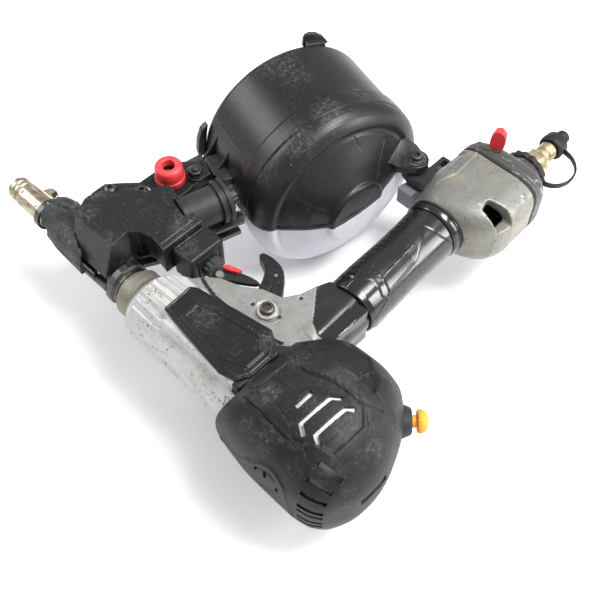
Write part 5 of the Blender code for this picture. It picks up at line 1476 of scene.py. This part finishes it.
def make_plug():
    along_y = (0, 1, 0)
    profile = ([(230, 3.2), (230, 6.2), (241, 6.2), (243, 6.4)] + threads(243.4, 248.2, 7.0, 0.6, 1.2)
               + [(248.5, 7.0), (256.5, 7.0), (256.5, 5.4), (258, 5.4), (258.2, 6.3), (258.6, 6.6),
                  (260.5, 6.6), (261, 6.2), (261.1, 5.6), (263.5, 5.6), (263.8, 6.2), (264.4, 6.4),
                  (269.6, 6.4), (270, 6.0), (270.1, 5.4), (276.4, 5.4), (277, 4.9), (277, 3.2)])
    plug = turned("hose_plug", profile, PLUG, along_y, 72)
    hexagon = prism("hexagon", round_end((0, 0), 9.6, 0, 300, 6), 248.5, 256.5, 0.7)
    carve(hexagon, bar((0, 0, 240), (0, 0, 260), 6.0))
    hexagon.data.transform(Matrix.Translation(Vector(PLUG) * MM) @ Matrix.Rotation(math.radians(-90), 4, "X"))
    whole = joined("hose_plug", plug, hexagon)
    file_piece(smooth_shade(whole, 32), "brass", replaces=["air_plug"])
    ring = turned("strap_washer", [(240.4, 7.4), (240.4, 14.4), (241.0, 15.2), (242, 15.4), (244.3, 15.4),
                                   (245.0, 14.6), (245.2, 13.6), (244.6, 12.6), (244.6, 8.6), (245.2, 8.2),
                                   (245.2, 7.4)],
                  PLUG, along_y, 168)
    points = coordinates(ring)
    aside, up = points[:, 0] - PLUG[0], points[:, 2]
    radius, angle = np.hypot(aside, up), np.arctan2(up, aside)
    pinch = 1 - 0.07 * smoothstep((radius - 12.5) / 1.5) * (0.5 - 0.5 * np.cos(angle * 14))
    points[:, 0], points[:, 2] = PLUG[0] + aside * pinch, up * pinch
    shift(ring, points)
    file_piece(smooth_shade(ring, 35), "soft_black", replaces=["strap_ring"])
    cap = turned("plug_dust_cover", [(277.6, 0), (277.6, 6.8), (271, 6.8), (271, 8.2), (271.4, 8.6),
                                     (272.6, 9.0), (273.6, 9.0), (279.4, 8.5), (280.2, 8.0), (280.6, 4.8),
                                     (281.4, 4.3), (283.2, 4.2), (284.0, 4.8), (284.8, 5.0), (287.6, 4.7),
                                     (288.3, 4.0), (288.6, 2.8), (288.6, 0)], PLUG, along_y, 72)
    file_piece(cap, "soft_black", "plug_dust_cap", ["dust_cap"])


def make_strap():
    """The flat rubber band from the washer behind the plug to its dust cap."""
    line = resampled([(246.2, 242.6), (249.6, 243.2), (253, 245.2), (256, 248.8), (257.8, 254),
                      (257.9, 259.6), (256.2, 265.6), (252.6, 270.4), (247.6, 274.0), (241.0, 275.9),
                      (239.8, 276.1)], 0.6)
    for _ in range(8):
        line[1:-1] = (line[:-2] + line[1:-1] * 2 + line[2:]) / 4
    rings = []
    for i, (x, y) in enumerate(line):
        run = line[min(i + 1, len(line) - 1)] - line[max(i - 1, 0)]
        run /= np.linalg.norm(run)
        side = np.array((-run[1], run[0], 0.0))
        half_wide = 2.2 - 0.5 * math.sin(math.pi * i / (len(line) - 1))
        across, up = soft_ring(-0.75, 0.75, half_wide, 4, 4, 24)
        rings.append(np.array((x, y, 0.0)) + across[:, None] * side + up[:, None] * UP)
    strap = smooth_shade(from_rings("dust_cap_strap", rings), 40)
    dress(strap, "soft_black")
    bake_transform(strap)
    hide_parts("cap_strap")


# ---------------------------------------------------------------- trigger and small pieces

TRIGGER_DOT = (175.1, 64.8)


def make_trigger():
    outline = ([(200.5, 42)] + round_end(PIVOT, 6.2, 20, -110, 14)
               + [(184, 35), (180.5, 39.3), (177.5, 44), (175, 48.4), (173, 52.5), (171.2, 56.8), (169, 60.5),
                  (167.0, 63.2), (164.5, 64.8), (161, 66.4), (157.5, 67.6), (156.3, 68.9), (156.2, 70.4),
                  (157.2, 71.9), (159, 72.4), (163.4, 73.2), (168, 73), (172.4, 72.2), (176, 70.5),
                  (179.4, 67.8), (182, 64.5), (184.9, 61.2), (187.4, 57.5), (190.6, 53.8), (194, 50)])
    blade = prism("trigger_blade", outline, -4.4, 4.4, 0.9, 4, 50)
    carve(blade, bar((*PIVOT[:2], -9), (*PIVOT[:2], 9), 2.8))
    remeshed(blade, 0.3, 2)
    outline_groove(blade, [(186, 41), (181, 50), (178.5, 58), (172, 66), (163, 69)], 0.8, 0.35)
    dent(blade, TRIGGER_DOT, 1.4, 0.9)
    dent(blade, (180.5, 62.2), 1.0, 0.5)
    roughen(blade, 0.04, 3.0, 81)
    file_piece(smooth_shade(blade, 50), "trigger", "trigger_lever", ["trigger"])
    dot = turned("trigger_dot", [(4.0, 0.5), (4.0, 1.0), (4.42, 0.9), (4.42, 0.55)], (*TRIGGER_DOT, 0), UP,
                 32)
    file_piece(dot, "washer", "trigger_lever")
    bolt = turned("trigger_pin", [(-18.5, 0), (-18.5, 3.9), (-18.2, 4.2), (-15.4, 4.2), (-15.4, 2.45),
                                  (16.4, 2.45), (16.4, 4.4), (18.6, 4.3), (19.2, 4.0), (19.6, 3.2),
                                  (19.6, 2.4), (18.6, 2.2), (18.6, 0)], PIVOT, UP, 64)
    file_piece(smooth_shade(bolt, 30), "bolt", replaces=["trigger_bolt"])
    washer = turned("trigger_pin_washer", [(15.2, 2.6), (15.2, 6.2), (16.2, 6.2), (16.4, 6.0), (16.4, 2.6)],
                    PIVOT, UP, 64)
    file_piece(washer, "washer")


def make_lock():
    leaf = prism("lock_leaf", [(150.4, 36.5), (150.3, 39.4), (150.8, 42), (154, 45.2), (158, 47.5),
                               (163, 49.6), (168, 51), (172, 51.7), (175, 51.5), (173, 48.8), (170, 46.5),
                               (165.6, 43.6), (161, 41), (158.6, 38.4), (156.5, 36.6), (153, 35.2)], 6.0,
                 9.6, 0.6, 3, 50)
    carve(leaf, bar((153.6, 38.6, 0), (153.6, 38.6, 20), 1.7))
    file_piece(smooth_shade(leaf, 40), "soft_black", "trigger_lock", ["lock_lever"])


def make_duster():
    base = turned("button_boot", [(0, 4.0), (0, 10.6), (0.4, 11.0), (5.6, 11.0), (6.2, 10.7), (9.6, 9.2),
                                  (12.8, 7.9), (13.5, 7.2), (13.5, 4.0)], BUTTON, BUTTON_ALONG, 72)
    file_piece(base, "soft_black", replaces=["duster_base"])
    dome = turned("duster_knob", [(-2, 0), (-2, 3.6), (16.8, 3.6), (16.8, 6.2), (17.2, 6.6), (18.2, 6.8),
                                  (19.2, 6.75), (20.4, 6.3), (21.4, 5.6), (22.3, 4.5), (23.0, 3.0),
                                  (23.3, 1.4), (23.4, 0)],
                  BUTTON, BUTTON_ALONG, 120)
    points, out = coordinates(dome), normals(dome)
    local = (points - np.array(BUTTON)) @ frame_of(BUTTON_ALONG)
    angle = np.arctan2(local[:, 1], local[:, 0])
    radius = np.hypot(local[:, 0], local[:, 1])
    ribs = np.clip(np.cos(angle * 20), 0, 1) * smoothstep((radius - 3.0) / 2.5) * (local[:, 2] > 16.9)
    shift(dome, points - out * (0.3 * ribs)[:, None])
    file_piece(smooth_shade(dome, 50), "orange", "air_duster_button", ["duster_button"])


def make_bracket():
    for node, look, slot in (("magazine_bracket", "black", "black_plastic"),
                             ("bracket_foot", "grey_plastic", "grey_plastic")):
        piece = soft_copy(node, node + "_moulding", 0.35, 3)
        roughen(piece, 0.05, 4.0, 91)
        file_piece(smooth_shade(piece, 50), look, replaces=[node])
    bolt = turned("drum_bolt", [(-10, 0), (-10, 2.4), (0, 2.4), (0, 4.9), (0.3, 5.2), (0.8, 5.2), (1.0, 4.9),
                                (1.0, 2.0), (1.6, 2.0), (1.6, 0)], (*LUG, 9.9), UP, 64)
    head = prism("head", round_end(LUG, 4.2, 20, 320, 6), 10.9, 13.4, 0.6)
    carve(head, bar((*LUG, 12.0), (*LUG, 16), 1.9, sides=24))
    piece = joined("drum_bolt", bolt, head)
    file_piece(smooth_shade(piece, 30), "bolt", replaces=["magazine_bolt"])


COIL_STEPS = 28                 # to a turn of a spring


def wire_coil(name, start, end, radius, wire, turns):
    """A coil spring of round wire between two points."""
    start, end = np.array(start, float), np.array(end, float)
    length = float(np.linalg.norm(end - start)) - 2 * wire
    basis = frame_of(end - start)
    count = int(turns * COIL_STEPS)
    wire_turns = np.arange(10) * 2 * math.pi / 10
    rings = []
    for i in range(count + 1):
        angle = 2 * math.pi * i / COIL_STEPS
        centre = np.array((radius * math.cos(angle), radius * math.sin(angle), wire + length * i / count))
        out = np.array((math.cos(angle), math.sin(angle), 0))
        ring = [centre + wire * (math.cos(a) * out + math.sin(a) * UP) for a in wire_turns]
        rings.append(np.array(ring) @ basis.T + start)
    return smooth_shade(from_rings(name, rings), 50)


SPRINGS = (     # name, moving end, fixed end, radius, wire, turns, joint, share left when pressed, node
    ("tip_return_spring", (39.4, 0, 0), (57.7, 0, 0), 7.9, 0.7, 4.5, "contact_arm_push", 0.34, "push_spring"),
    ("feed_return_spring", tuple(feeder_at(10.3)), tuple(feeder_at(24.2)), 7.0, 0.7, 4, "feed_stroke", 0.42,
     "feed_spring"),
    ("valve_return_spring", (244.3, 0, 0), (268, 0, 0), 17.4, 1.0, 4, "head_valve_lift", 0.82,
     "head_valve_spring"),
    ("plunger_return_spring", (196.5, 56, 0), (206.5, 56, 0), 3.3, 0.4, 4, "trigger_valve_push", 0.67,
     "plunger_spring"),
)


def make_springs():
    for name, moving, fixed, radius, wire, turns, joint, pressed, node in SPRINGS:
        piece = wire_coil(name, moving, fixed, radius, wire, turns)
        file_piece(piece, "spring", replaces=[node])
        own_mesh(piece)


# ---------------------------------------------------------------- looks of the nodes that still show

NODE_LOOKS = {
    "dark_steel": ("push_lever", "nose_body", "nail_door", "door_hinge_pin", "door_latch"),
    "bright_steel": ("feed_piston", "cylinder_sleeve", "driver_blade", "trigger_plunger", "selector_shaft",
                     "magazine_hinge_pin"),
    "black": ("depth_dial", "tray_post"),
    "soft_black": ("piston_bumper", "head_valve"),
    "under_head": ("piston", "cylinder_cap"),
    "brass": ("trigger_valve_body",),
    "red": ("lock_lever_tab",),
    "frame": ("lock_lever_pin",),
    "grey_plastic": ("coil_tray",),
}
BENT_WIRE = "push_lever"        # already round, so it needs no bevel


def dress_nodes():
    """Gives a look to the CAD's nodes that no other piece stands for."""
    for look, names in NODE_LOOKS.items():
        for name in names:
            piece = dress(NODES[name], look)
            smooth_shade(piece, 38)
            if name == BENT_WIRE:
                continue
            edge = bevelled(piece, 0.4, 2, 38)
            edge.limit_method = "ANGLE"
            edge.use_clamp_overlap = True


dress_nodes()
make_drum()
make_lid()
make_head()
make_body()
make_side_plates()
make_tip()
make_guard()
make_covers()
make_cover_screws()
make_feeder()
make_neck()
make_grip()
make_end()
make_plug()
make_strap()
make_springs()
make_trigger()
make_lock()
make_duster()
make_bracket()
